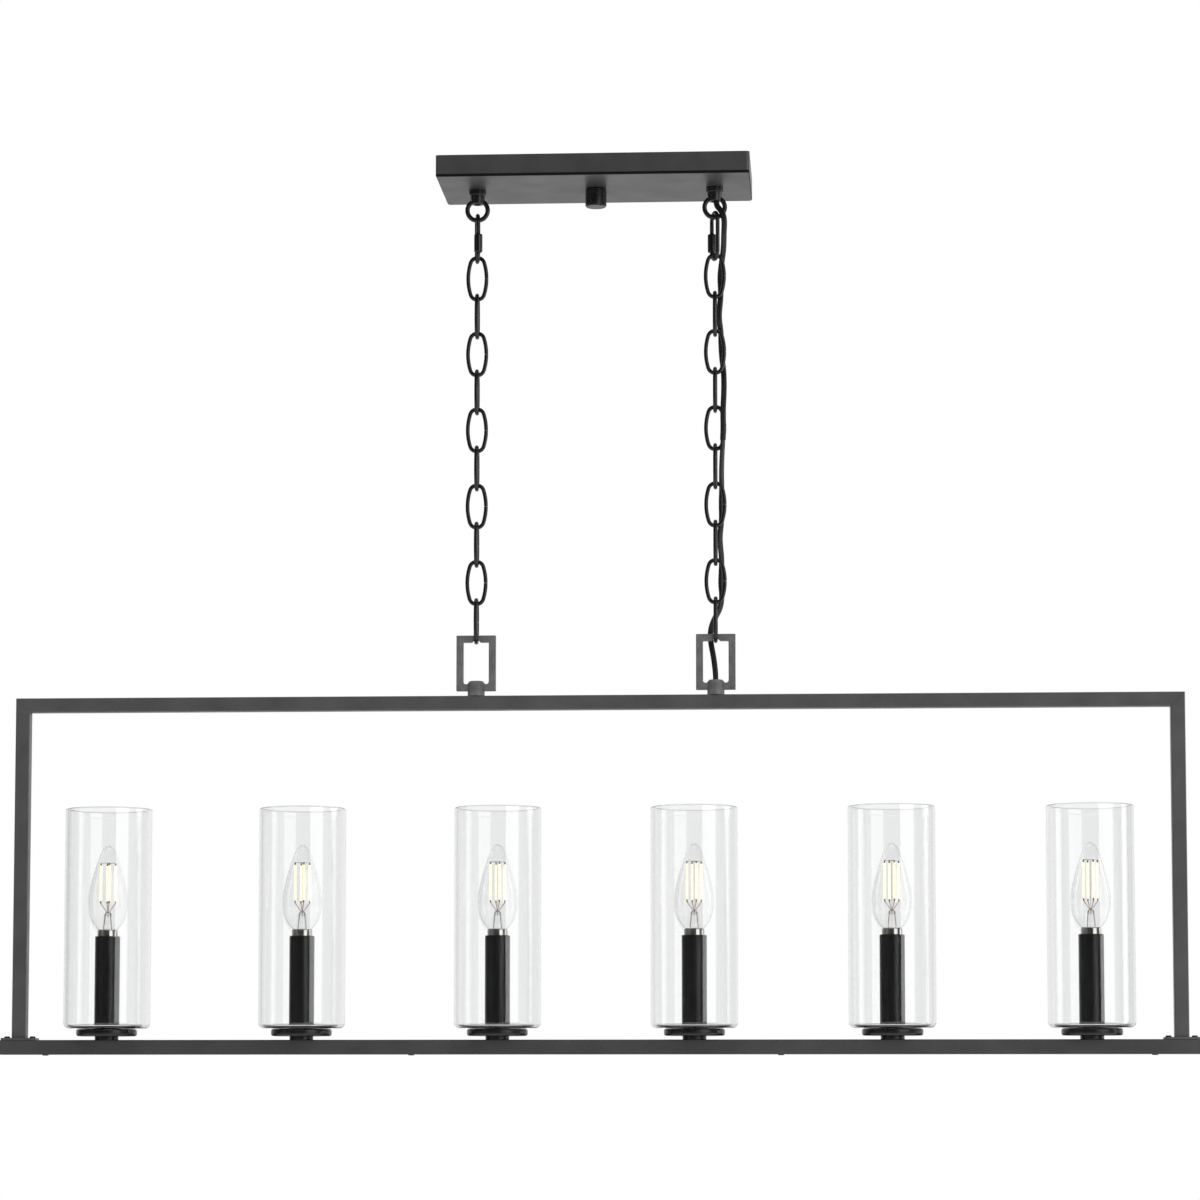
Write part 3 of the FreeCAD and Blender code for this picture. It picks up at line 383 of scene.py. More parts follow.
def lathe(bm, outline, x=0.0, y=0.0, steps=64, closed=True):
    """Spins (radius, z, rounding) points about an upright axis and rounds the marked corners."""
    verts = [bm.verts.new((radius, 0.0, z)) for radius, z, rounding in outline]
    edges = [bm.edges.new(pair) for pair in zip(verts, verts[1:])]
    if closed:
        edges.append(bm.edges.new((verts[-1], verts[0])))
    axis_edges = [edge for edge in edges if all(v.co.x < 1e-6 for v in edge.verts)]
    bmesh.ops.delete(bm, geom=axis_edges, context="EDGES_FACES")
    edges = [edge for edge in edges if edge.is_valid]
    bmesh.ops.spin(bm, geom=[v for v in verts if v.is_valid] + edges, cent=(0, 0, 0),
                   axis=(0, 0, 1), angle=math.tau, steps=steps, use_merge=True)
    bmesh.ops.remove_doubles(bm, verts=bm.verts[:], dist=1e-4)
    for radius, z, rounding in outline:
        if rounding > 0:
            ring = [edge for edge in bm.edges if all(
                abs(v.co.z - z) < 1e-3 and abs(math.hypot(v.co.x, v.co.y) - radius) < 1e-3
                for v in edge.verts)]
            bevel_edges(bm, ring, rounding, 4 if rounding > 1.5 else 3)
    bmesh.ops.translate(bm, vec=(x, y, 0), verts=bm.verts[:])


def lathed(name, outline, finish, body, nodes, x=0.0, steps=64):
    """A piece that is turned about one upright axis."""
    bm = bmesh.new()
    lathe(bm, outline, x, 0.0, steps)
    return finish_piece(name, bm, finish, body, nodes)


def box_mesh(bm, low, high):
    made = bmesh.ops.create_cube(bm, size=1.0)
    size = Vector(high) - Vector(low)
    bmesh.ops.scale(bm, vec=size, verts=made["verts"])
    bmesh.ops.translate(bm, vec=(Vector(low) + Vector(high)) / 2, verts=made["verts"])
    return made["verts"]


def edges_along(bm, axis):
    """Straight edges that run along X, Y or Z (0, 1 or 2)."""
    chosen = []
    for edge in bm.edges:
        run = edge.verts[1].co - edge.verts[0].co
        if run.length > 1e-6 and abs(run[axis]) / run.length > 0.999:
            chosen.append(edge)
    return chosen


def wire_ring(bm, radius, centre, direction, sides=14):
    """A ring of vertices square to a direction: the section that a wire is swept from."""
    turn = Vector((0, 0, 1)).rotation_difference(Vector(direction)).to_matrix().to_4x4()
    made = bmesh.ops.create_circle(bm, cap_ends=False, segments=sides, radius=radius,
                                   matrix=Matrix.Translation(centre) @ turn)
    return made["verts"], edges_at(made["verts"])


def sweep_arc(bm, section, centre, axis, degrees, steps):
    """Carries a ring round an arc and returns the ring at its end."""
    verts, edges = section
    spun = bmesh.ops.spin(bm, geom=verts + edges, cent=centre, axis=axis,
                          angle=math.radians(degrees), steps=steps)
    return verts_of(spun["geom_last"]), edges_of(spun["geom_last"])


def sweep_run(bm, section, run):
    """Carries a ring along a straight run and returns the ring at its end."""
    out = bmesh.ops.extrude_edge_only(bm, edges=section[1])["geom"]
    verts = verts_of(out)
    edges = [edge for edge in edges_of(out) if all(v in verts for v in edge.verts)]
    bmesh.ops.translate(bm, vec=run, verts=verts)
    return verts, edges


def cap_ring(bm, section, rounding):
    """Closes a wire's end with a flat face and a small rounded edge."""
    face = bmesh.ops.contextual_create(bm, geom=section[1])["faces"]
    if rounding:
        bevel_edges(bm, [edge for f in face for edge in f.edges], rounding, 2)


# ---- Canopy ---------------------------------------------------------------------

def build_canopy():
    bm = bmesh.new()
    box_mesh(bm, CANOPY_LOW, CANOPY_HIGH)
    top = [face for face in bm.faces if face.normal.z > 0.9]
    bmesh.ops.delete(bm, geom=top, context="FACES")
    bevel_edges(bm, edges_along(bm, 2), SIZES.canopy_corner, 5)
    bevel_edges(bm, sharp_edges(bm, 0.5, CANOPY_LOW.z), SIZES.canopy_edge, 4)
    bmesh.ops.recalc_face_normals(bm, faces=bm.faces[:])
    bmesh.ops.solidify(bm, geom=bm.faces[:], thickness=SIZES.canopy_wall)
    finish_piece("canopy_shell", bm, "canopy_coat", "root", ["canopy_cover"])


def build_knob():
    low, high = span("canopy_knob")
    radius = (high.x - low.x) / 2
    head, foot = SIZES.knob_head, SIZES.knob_foot
    outline = [(0, high.z, 0), (radius - head, high.z, 0), (radius, high.z - head, 0),
               (radius, low.z + foot, 0), (radius - foot, low.z, 0), (0, low.z, 0)]
    lathed("canopy_nut", outline, "turned_paint", "knob", ["canopy_knob"])


def build_ring_loop(side):
    """Flange, bored neck and threaded stem, with the ring that the quick link hangs in."""
    x = CHAIN_X[side]
    low, high = span("canopy_loop_" + side)
    underside = CANOPY_LOW.z
    flange = SIZES.flange_width / 2
    neck = SIZES.neck_width / 2
    bore = SIZES.cord_bore / 2
    neck_bottom = underside - SIZES.neck_length
    bm = bmesh.new()
    lathe(bm, [(bore, neck_bottom, 0.5), (neck - SIZES.neck_taper, neck_bottom, 0.9),
               (neck, underside - SIZES.flange_height, 0),
               (flange, underside - SIZES.flange_height, 0.9), (flange, underside, 0),
               (SIZES.stem_width / 2, underside, 0), (SIZES.stem_width / 2, high.z, 0.5),
               (bore, high.z, 0)], steps=48)
    ring_radius = (high.x - low.x) / 2 - SIZES.ring_wire / 2
    centre = Vector((0, 0, low.z + SIZES.ring_wire / 2 + ring_radius))
    verts, edges = wire_ring(bm, SIZES.ring_wire / 2, centre + Vector((ring_radius, 0, 0)),
                             (0, 0, 1), 18)
    bmesh.ops.spin(bm, geom=verts + edges, cent=centre, axis=(0, 1, 0), angle=math.tau, steps=56,
                   use_merge=True)
    bmesh.ops.translate(bm, vec=(x, 0, 0), verts=bm.verts[:])
    finish_piece("ring_loop_" + side, bm, "turned_paint", "root", ["canopy_loop_" + side])


# ---- Quick links and chains --------------------------------------------------------

# Degrees that each quick link's sleeve is turned by from the front.
QUICK_LINK_TURN = {"left": 11.0, "right": 203.0}
# Plain wire between a thread and the bend below the opening, and above it.
THREAD_FOOT, THREAD_HEAD = 1.0, 3.0
# A ridge of the thread: its height as a share of the pitch, how deep its two edges sink into the
# wire and how far its crest stands out of it.
RIDGE_HEIGHT, RIDGE_SUNK, RIDGE_CREST = 0.8, 0.02, 0.16


def build_quick_link(side, degrees):
    """Round wire link with a threaded, open leg, and the sleeve that closes it."""
    low, high = span("quick_link_" + side)
    sleeve_low, sleeve_high = span("link_sleeve_" + side)
    wire = SIZES.quick_wire
    bend = (SIZES.quick_width - wire) / 2
    top = high.z - wire / 2 - bend
    bottom = low.z + wire / 2 + bend
    turn = Matrix.Rotation(math.radians(degrees), 4, "Z")
    shift = Matrix.Translation((CHAIN_X[side], 0, 0))
    opening_low = (sleeve_low.z + sleeve_high.z - SIZES.quick_opening) / 2
    opening_high = opening_low + SIZES.quick_opening
    bm = bmesh.new()
    start = wire_ring(bm, wire / 2, (0, -bend, opening_low), (0, 0, -1), 16)
    section = sweep_run(bm, start, (0, 0, bottom - opening_low))
    section = sweep_arc(bm, section, (0, 0, bottom), (1, 0, 0), 180, 16)
    section = sweep_run(bm, section, (0, 0, top - bottom))
    section = sweep_arc(bm, section, (0, 0, top), (1, 0, 0), 180, 16)
    end = sweep_run(bm, section, (0, 0, opening_high - top))
    cap_ring(bm, start, 0.35)
    cap_ring(bm, end, 0.35)
    pitch = SIZES.thread_pitch
    for foot, head in ((bottom + THREAD_FOOT, opening_low - pitch),
                       (opening_high + pitch, top - THREAD_HEAD)):
        for n in range(int((head - foot) / pitch)):
            thread_ridge(bm, wire / 2, foot + n * pitch, pitch * RIDGE_HEIGHT, -bend)
    bmesh.ops.transform(bm, matrix=shift @ turn, verts=bm.verts[:])
    finish_piece("quick_link_wire_" + side, bm, "wire_enamel", "quick_link_" + side,
                 ["quick_link_" + side], weld=0)
    radius = SIZES.sleeve_width / 2
    bore = wire / 2 + SIZES.sleeve_play
    sleeve = bmesh.new()
    lathe(sleeve, [(bore, sleeve_low.z, 0.3), (radius, sleeve_low.z, 1.3),
                   (radius, sleeve_high.z, 1.3), (bore, sleeve_high.z, 0.3)], 0, -bend, 36)
    bmesh.ops.transform(sleeve, matrix=shift @ turn, verts=sleeve.verts[:])
    finish_piece("link_sleeve_nut_" + side, sleeve, "wire_enamel", "link_sleeve_" + side,
                 ["link_sleeve_" + side])


def thread_ridge(bm, radius, z, height, y):
    """One ridge of a thread, as a ring with a pointed rim that stands on the wire."""
    before = set(bm.verts)
    verts = [bm.verts.new((radius + rise, 0, z + height * share))
             for rise, share in ((-RIDGE_SUNK, 0), (RIDGE_CREST, 0.5), (-RIDGE_SUNK, 1))]
    edges = [bm.edges.new(pair) for pair in zip(verts, verts[1:])]
    bmesh.ops.spin(bm, geom=verts + edges, cent=(0, 0, 0), axis=(0, 0, 1), angle=math.tau,
                   steps=16, use_merge=True)
    bmesh.ops.translate(bm, vec=(0, y, 0), verts=[v for v in bm.verts if v not in before])


# Steps in half a side of an oval link, and round its end.
SIDE_STEPS, END_STEPS = 4, 10


def oval_wire(bm, centre, length, width, wire, end_radius, face_on):
    """One oval link of bent wire, its ends meeting in a butt joint half way up one side."""
    half_length = (length - wire) / 2
    half_width = (width - wire) / 2
    rise = half_length - end_radius
    side_radius = (rise ** 2 + half_width ** 2 - end_radius ** 2) / (2 * (half_width - end_radius))
    offset = side_radius - half_width
    half_side = math.degrees(math.atan2(rise, offset))
    split = math.degrees(SIZES.butt_gap / 2 / side_radius)
    before = set(bm.verts)
    side = Vector((-offset, 0, 0))
    joint = Matrix.Rotation(math.radians(-split), 3, "Y") @ Vector((side_radius, 0, 0))
    start = wire_ring(bm, wire / 2, joint + side, (0, 0, 1))
    up = (0, -1, 0)
    section = sweep_arc(bm, start, side, up, half_side - split, SIDE_STEPS)
    section = sweep_arc(bm, section, (0, 0, rise), up, 180 - 2 * half_side, END_STEPS)
    section = sweep_arc(bm, section, -side, up, 2 * half_side, 2 * SIDE_STEPS)
    section = sweep_arc(bm, section, (0, 0, -rise), up, 180 - 2 * half_side, END_STEPS)
    section = sweep_arc(bm, section, side, up, half_side - split, SIDE_STEPS)
    cap_ring(bm, start, 0.3)
    cap_ring(bm, section, 0.3)
    verts = [v for v in bm.verts if v not in before]
    if not face_on:
        quarter = Matrix.Rotation(math.pi / 2, 3, "Z")
        bmesh.ops.rotate(bm, cent=(0, 0, 0), matrix=quarter, verts=verts)
    bmesh.ops.translate(bm, vec=centre, verts=verts)


def build_chain(side):
    low, high = span("chain_" + side)
    end_low, end_high = span("end_link_" + side)
    length = end_high.z - end_low.z
    width = high.x - low.x
    count = SIZES.links
    pitch = (high.z - end_high.z) / (count - 1)
    upper = [(high.z - n * pitch - length / 2, n % 2 == 0) for n in range(count - 1)]
    last = [((end_low.z + end_high.z) / 2, False)]
    for name, node, links in (("chain_links_", "chain_", upper),
                              ("last_link_", "end_link_", last)):
        bm = bmesh.new()
        for z, face_on in links:
            oval_wire(bm, (CHAIN_X[side], 0, z), length, width, SIZES.chain_wire, SIZES.link_end,
                      face_on)
        finish_piece(name + side, bm, "wire_enamel", node + side, [node + side],
                     weld=0)


# ---- Frame -----------------------------------------------------------------------

# The notch under a loop's top bar narrows upwards: half its top, as a share of its width.
NOTCH_TOP = 0.26
# A groove of a collar: how deep it is, and where it bottoms out, rises and ends, as shares of the
# pitch of the grooves.
GROOVE_DEPTH = 0.28
GROOVE_FLOOR, GROOVE_RISE, GROOVE_END = 0.2, 0.4, 0.6


def mitred_tube(name, low, high, shear, node):
    """Square tube with softly rounded long edges; shear moves its corners to cut the mitres."""
    bm = bmesh.new()
    for v in box_mesh(bm, low, high):
        shear(v.co, SIZES.tube)
    long_axis = 0 if high.x - low.x > high.z - low.z else 2
    bevel_edges(bm, edges_along(bm, long_axis), SIZES.tube_edge, 4)
    bevel_edges(bm, sharp_edges(bm, 0.5), SIZES.mitre_edge, 1)
    finish_piece(name, bm, "powder_coat", "frame", [node])


def build_frame_tubes():
    # The top tube's lower corners move in by its width, and an upright's inner top corners down.
    def mitre_both(co, size):
        if co.z < middle("top_tube").z:
            co.x -= math.copysign(size, co.x)

    low, high = span("top_tube")
    mitred_tube("frame_top_tube", low, high, mitre_both, "top_tube")
    for side in SIDES:
        low, high = span("upright_" + side)
        inner_x = high.x if side == "left" else low.x

        def mitre_top(co, size, edge_x=inner_x, top=high.z):
            if co.z > top - 1 and abs(co.x - edge_x) < 0.1:
                co.z -= size

        mitred_tube("frame_upright_" + side, low, high, mitre_top, "upright_" + side)


def build_foot_plates():
    for side in SIDES:
        low, high = span("foot_plate_" + side)
        bm = bmesh.new()
        box_mesh(bm, low, high)
        bevel_edges(bm, edges_along(bm, 2), SIZES.foot_corner, 5)
        bevel_edges(bm, sharp_edges(bm, 0.5, high.z), SIZES.foot_edge, 2)
        finish_piece("foot_pad_" + side, bm, "powder_coat", "frame", ["foot_plate_" + side])


def build_bottom_bar():
    low, high = span("bottom_bar")
    bm = bmesh.new()
    box_mesh(bm, low, high)
    under = [face for face in bm.faces if face.normal.z < -0.9]
    bmesh.ops.delete(bm, geom=under, context="FACES")
    bevel_edges(bm, edges_along(bm, 2), SIZES.bar_edge, 4)
    bevel_edges(bm, sharp_edges(bm, 0.5, high.z), SIZES.bar_rim, 4)
    bmesh.ops.recalc_face_normals(bm, faces=bm.faces[:])
    bmesh.ops.solidify(bm, geom=bm.faces[:], thickness=SIZES.bar_wall)
    finish_piece("long_bar", bm, "bar_coat", "frame", ["bottom_bar"])


def build_frame_loop(side):
    """Cast rectangle with a notched top bar, standing on a grooved collar."""
    x = CHAIN_X[side]
    low, high = span("frame_loop_" + side)
    bar = SIZES.loop_bar
    half = (high.x - low.x) / 2
    bottom = low.z + SIZES.collar_gap
    inner = half - bar
    bm = bmesh.new()
    points = [(0, high.z), (-half, high.z), (-half, bottom), (0, bottom), (0, bottom + bar),
              (-inner, bottom + bar), (-inner, high.z - bar), (-SIZES.notch / 2, high.z - bar),
              (-SIZES.notch * NOTCH_TOP, high.z - bar + SIZES.notch_depth),
              (0, high.z - bar + SIZES.notch_depth)]
    face = bm.faces.new([bm.verts.new((px, -bar / 2, pz)) for px, pz in points])
    made = bmesh.ops.extrude_face_region(bm, geom=[face])
    bmesh.ops.translate(bm, vec=(0, bar, 0), verts=verts_of(made["geom"]))
    cut = [f for f in bm.faces if all(abs(v.co.x) < 1e-4 for v in f.verts)]
    bmesh.ops.delete(bm, geom=cut, context="FACES")
    bmesh.ops.mirror(bm, geom=bm.verts[:] + bm.edges[:] + bm.faces[:], axis="X", merge_dist=0.01)
    bmesh.ops.recalc_face_normals(bm, faces=bm.faces[:])
    inside = [edge for edge in edges_along(bm, 1) if edge.verts[0].co.z < bottom + 2 * bar
              and abs(abs(edge.verts[0].co.x) - inner) < 0.01]
    bevel_edges(bm, inside, SIZES.loop_inside, 4)
    bevel_edges(bm, sharp_edges(bm, 0.7), SIZES.loop_edge, 3)
    collar = bmesh.new()
    radius = SIZES.collar / 2
    top = low.z + SIZES.collar_height
    bore = SIZES.cord_bore / 2
    outline = [(bore, low.z, 0), (radius, low.z, 0.3)]
    groove_low, groove_top = low.z + SIZES.collar_foot, top - SIZES.collar_chamfer
    pitch = (groove_top - groove_low) / SIZES.collar_grooves
    for n in range(SIZES.collar_grooves):
        outline += [(radius - depth, groove_low + (n + share) * pitch, 0)
                    for depth, share in ((0, 0), (GROOVE_DEPTH, GROOVE_FLOOR),
                                         (GROOVE_DEPTH, GROOVE_RISE), (0, GROOVE_END))]
    outline += [(radius, groove_top, 0), (radius - SIZES.collar_slope, top, 0.4),
                (bore, top, 0.4)]
    lathe(collar, outline, steps=56)
    temp = bpy.data.meshes.new("collar")
    collar.to_mesh(temp)
    collar.free()
    bm.from_mesh(temp)
    bpy.data.meshes.remove(temp)
    bmesh.ops.translate(bm, vec=(x, 0, 0), verts=bm.verts[:])
    finish_piece("frame_loop_casting_" + side, bm, "casting_paint", "frame",
                 ["frame_loop_" + side])


# ---- Lamps -----------------------------------------------------------------------

# Degrees from X to a bulb's first strip: from the front the four stand evenly apart.
STRIP_TURN = 18.0
# Shares of a bulb's half width and height, a little outside it where subdivision draws in.
BULB_OUTLINE = [(0.0, 1.004), (0.18, 0.992), (0.34, 0.948), (0.47, 0.87), (0.66, 0.74),
                (0.86, 0.58), (1.0, 0.42), (1.025, 0.31), (0.97, 0.19), (0.80, 0.085),
                (0.56, 0.02), (0.47, 0.0)]
# A bulb's cap: radius of the contact at its foot and height of the cone round it, as shares of the
# shell's radius, and the height over which the shell widens to the collar.
CONTACT, CONE, CAP_SLOPE = 0.45, 0.5, 1.5
# A bulb's stem: the height of its tapered top, and its radius where that starts and ends, as
# shares of the stem's radius.
STEM_TOP, STEM_SHOULDER, STEM_END = 3.5, 0.9, 0.55
# The gap between a bulb's cap and its stem, which keeps their faces apart.
STEM_GAP = 0.05
# Radii of a bulb's wires, from a strip's tab to the middle, up the middle and inside the stem, and
# how far under the stem's top the glass holds each.
TAB_WIRE, MIDDLE_WIRE, STEM_WIRE = 0.28, 0.2, 0.25
TAB_HELD, MIDDLE_HELD, STEM_HELD = 1.0, 4.0, 1.5
# The two wires inside the stem: how far they stand from the middle at their feet and heads, and
# the height of their feet over the cap.
FEET_OUT, HEADS_OUT, FEET_LIFT = 2.6, 1.5, 0.5
# Half the width and half the depth of a tab, and the rounding of a strip's ends.
TAB_WIDE, TAB_DEEP, STRIP_ROUND = 0.55, 0.2, 0.2


def build_holder(number, x):
    """Neck ring and round plate; a low step on the plate centres the glass."""
    low, high = span("glass_holders")
    neck_low, neck_high = span("lamp_necks")
    radius = SIZES.holder / 2
    top = span("glass_shade_%d" % number)[0].z - SIZES.lay_gap
    step = SIZES.glass_hole / 2 - SIZES.step_play
    bore = SIZES.stem_width / 2
    lathed("glass_plate_%d" % number,
           [(bore, low.z, 0), (radius, low.z, 2.0), (radius, top, 2.0), (step, top, 0),
            (step, high.z, 0.3), (bore, high.z, 0)],
           "turned_paint", "frame", ["glass_holders"], x)
    lathed("neck_ring_%d" % number,
           [(bore, neck_low.z, 0), (SIZES.neck_ring / 2, neck_low.z, 0.3),
            (SIZES.neck_ring / 2, neck_high.z, 0.3), (bore, neck_high.z, 0)],
           "turned_paint", "frame", ["lamp_necks"], x, steps=48)


def build_shade(number, x):
    """Blown cylinder with a rounded foot, a ground hole in its floor and a fire-polished rim."""
    node = "glass_shade_%d" % number
    low, high = span(node)
    outer = (high.x - low.x) / 2
    inner = outer - SIZES.glass_wall
    floor = low.z + SIZES.glass_floor
    hole = SIZES.glass_hole / 2
    lathed("glass_cylinder_%d" % number,
           [(hole, low.z, 0.5), (outer, low.z, SIZES.glass_foot),
            (outer, high.z, SIZES.glass_rim), (inner, high.z, SIZES.glass_rim),
            (inner, floor, SIZES.glass_inside), (hole, floor, 0.5)],
           "shade_glass", "shade_%d" % number, [node], x, steps=96)


def build_candle(number, x):
    low, high = span("candle_sleeves")
    outer = SIZES.candle / 2
    inner = outer - SIZES.candle_wall
    lathed("candle_tube_%d" % number,
           [(inner, low.z, 0), (outer, low.z, 0.2), (outer, high.z, 0.35), (inner, high.z, 0.3)],
           "candle_tube", "frame", ["candle_sleeves"], x, steps=64)


def build_bulb(number, x):
    """Pointed clear envelope on a nickel cap, with a glass stem and four lit strips inside."""
    node = "bulb_glass_%d" % number
    body = "bulb_%d" % number
    low, high = span(node)
    height = high.z - low.z
    wide = (high.x - low.x) / 2
    bm = bmesh.new()
    lathe(bm, [(r * wide, low.z + t * height, 0) for r, t in BULB_OUTLINE], x, 0, 24, closed=False)
    bmesh.ops.recalc_face_normals(bm, faces=bm.faces[:])
    bmesh.ops.solidify(bm, geom=bm.faces[:], thickness=SIZES.bulb_wall)
    envelope = finish_piece("bulb_envelope_%d" % number, bm, "bulb_glass", body, [node],
                            180.0)
    envelope.modifiers.clear()
    smooth = envelope.modifiers.new("round_glass", "SUBSURF")
    smooth.levels = smooth.render_levels = 2

    cap_bottom = span("bulb_mount_%d" % number)[0].z
    collar = SIZES.cap_collar / 2
    shell = SIZES.cap_shell / 2
    collar_bottom = low.z - SIZES.cap_collar_height
    mount_node = "bulb_mount_%d" % number
    lathed("bulb_cap_%d" % number,
           [(0, cap_bottom, 0), (shell * CONTACT, cap_bottom, 0),
            (shell, cap_bottom + shell * CONE, 0.4), (shell, collar_bottom, 0),
            (collar, collar_bottom + CAP_SLOPE, 0.5), (collar, low.z, 0.7), (0, low.z, 0)],
           "nickel_plate", body, [mount_node], x, steps=48)
    stem_top = low.z + SIZES.stem_height
    stem = SIZES.stem_glass / 2
    lathed("bulb_stem_%d" % number,
           [(0, low.z + STEM_GAP, 0), (stem, low.z + STEM_GAP, 0),
            (stem * STEM_SHOULDER, stem_top - STEM_TOP, 0.8), (stem * STEM_END, stem_top, 0.8),
            (0, stem_top, 0)],
           "stem_glass", body, [mount_node], x, steps=32)

    strips = bmesh.new()
    hangers = bmesh.new()
    supports = bmesh.new()
    base = low.z + SIZES.strip_lift
    tip = base + SIZES.strip_length
    circle = SIZES.strip_circle / 2
    for n in range(4):
        angle = math.radians(STRIP_TURN + 90 * n)
        foot = Vector((x + circle * math.cos(angle), circle * math.sin(angle), base))
        made = wire_ring(strips, SIZES.strip / 2, foot, (0, 0, 1), 10)
        end = sweep_run(strips, made, (0, 0, SIZES.strip_length))
        cap_ring(strips, made, STRIP_ROUND)
        cap_ring(strips, end, STRIP_ROUND)
        for wires, level, rise, hub in ((supports, base, -SIZES.tab, stem_top - TAB_HELD),
                                        (hangers, tip, SIZES.tab, tip + SIZES.tab)):
            box_mesh(wires,
                     (foot.x - TAB_WIDE, foot.y - TAB_DEEP, min(level, level + rise)),
                     (foot.x + TAB_WIDE, foot.y + TAB_DEEP, max(level, level + rise)))
            straight_wire(wires, (foot.x, foot.y, level + rise), (x, 0, hub), TAB_WIRE)
    straight_wire(hangers, (x, 0, stem_top - MIDDLE_HELD), (x, 0, tip + SIZES.tab), MIDDLE_WIRE)
    for way in (-1, 1):
        straight_wire(supports, (x + way * FEET_OUT, 0, low.z + FEET_LIFT),
                      (x + way * HEADS_OUT, 0, stem_top - STEM_HELD), STEM_WIRE)
    for name, wires, finish in (("strips", strips, "lit_strip"),
                                ("supports", supports, "coppered_wire"),
                                ("hangers", hangers, "nickel_plate")):
        finish_piece("bulb_%s_%d" % (name, number), wires, finish, body, [mount_node],
                     weld=0)


def straight_wire(bm, start, end, radius):
    start, end = Vector(start), Vector(end)
    section = wire_ring(bm, radius, start, end - start, 8)
    last = sweep_run(bm, section, end - start)
    cap_ring(bm, section, 0)
    cap_ring(bm, last, 0)


# ---- Cord and leads ----------------------------------------------------------------

# The cord's control points: offset from the right chain along X, offset along Y, and level.
CORD_POINTS = [
    (0.0, 0.0, -6.1),
    (0.0, 0.2, -34.9),
    (6.6, -5.4, -42.4),
    (9.1, -7.1, -50.7),
    (8.4, -4.6, -62.5),
    (8.0, 1.7, -75.5),
    (5.9, 6.4, -88.0),
    (4.4, 7.4, -100.5),
    (5.3, 6.7, -113.0),
    (4.6, 2.8, -126.0),
    (3.4, 1.9, -138.0),
    (5.2, 5.8, -150.5),
    (5.3, 6.9, -162.5),
    (6.0, 6.3, -174.5),
    (7.6, 5.6, -187.5),
    (8.0, 1.2, -201.0),
    (7.8, -4.6, -213.0),
    (7.2, -6.8, -226.0),
    (7.5, -6.4, -241.0),
    (6.8, -5.9, -256.0),
    (5.9, -2.2, -269.0),
    (5.4, 3.4, -281.0),
    (5.6, 6.4, -294.0),
    (5.0, 6.9, -307.0),
    (5.5, 6.5, -322.0),
    (3.9, 2.3, -336.0),
    (4.2, 2.8, -346.0),
    (5.4, 6.3, -357.0),
    (5.0, 6.9, -369.0),
    (4.4, 6.6, -380.0),
    (5.6, 6.0, -391.0),
    (4.2, 3.6, -402.5),
    (-1.9, 3.0, -413.0),
    (-5.1, 5.8, -422.5),
    (-4.7, 7.1, -433.0),
    (-2.4, 4.4, -444.5),
    (-0.9, 1.6, -455.0),
    (0.0, 0.0, -465.5),
    (0.0, 0.0, -483.2),
]


# The bodies above and below each stretch of the cord, the levels between which it bends over from
# the one to the other, and the levels of its two ends.
CORD_STRETCHES = [
    ("root", "quick_link_right", -40.0, -56.0, 0.0, -62.0),
    ("quick_link_right", "chain_right", -66.0, -96.0, -62.0, -250.0),
    ("chain_right", "end_link_right", -384.0, -404.0, -250.0, -409.0),
    ("end_link_right", "frame", -413.0, -440.0, -409.0, -500.0),
]
# The waist between the cord's two cores: its depth as a share of the cord's, and its width as a
# cosine. The cord also turns to and fro, by so many radians with so many millimetres a radian.
WAIST_DEPTH, WAIST_WIDTH = 0.22, 0.34
SWAY, SWAY_LENGTH = 0.5, 70.0
# Where each lead in the canopy ends, and its finish.
LEAD_ENDS = [(70.0, 26.0, "black_lead"), (58.0, 38.0, "white_lead")]
# How far each end of a lead stands above the level that it comes from.
LEAD_LIFT = 0.15


def spline_points(name, points):
    """Points along a smooth NURBS line through the room that the control points give."""
    curve = bpy.data.curves.new(name, "CURVE")
    curve.dimensions = "3D"
    curve.resolution_u = 8
    spline = curve.splines.new("NURBS")
    spline.points.add(len(points) - 1)
    for point, (x, y, z) in zip(spline.points, points):
        point.co = (x, y, z, 1.0)
    spline.order_u = 3
    spline.use_endpoint_u = True
    holder = bpy.data.objects.new(name, curve)
    bpy.context.scene.collection.objects.link(holder)
    bpy.context.view_layer.update()
    mesh = bpy.data.meshes.new_from_object(holder.evaluated_get(
        bpy.context.evaluated_depsgraph_get()))
    line = [v.co.copy() for v in mesh.vertices]
    bpy.data.meshes.remove(mesh)
    bpy.data.objects.remove(holder)
    bpy.data.curves.remove(curve)
    return line


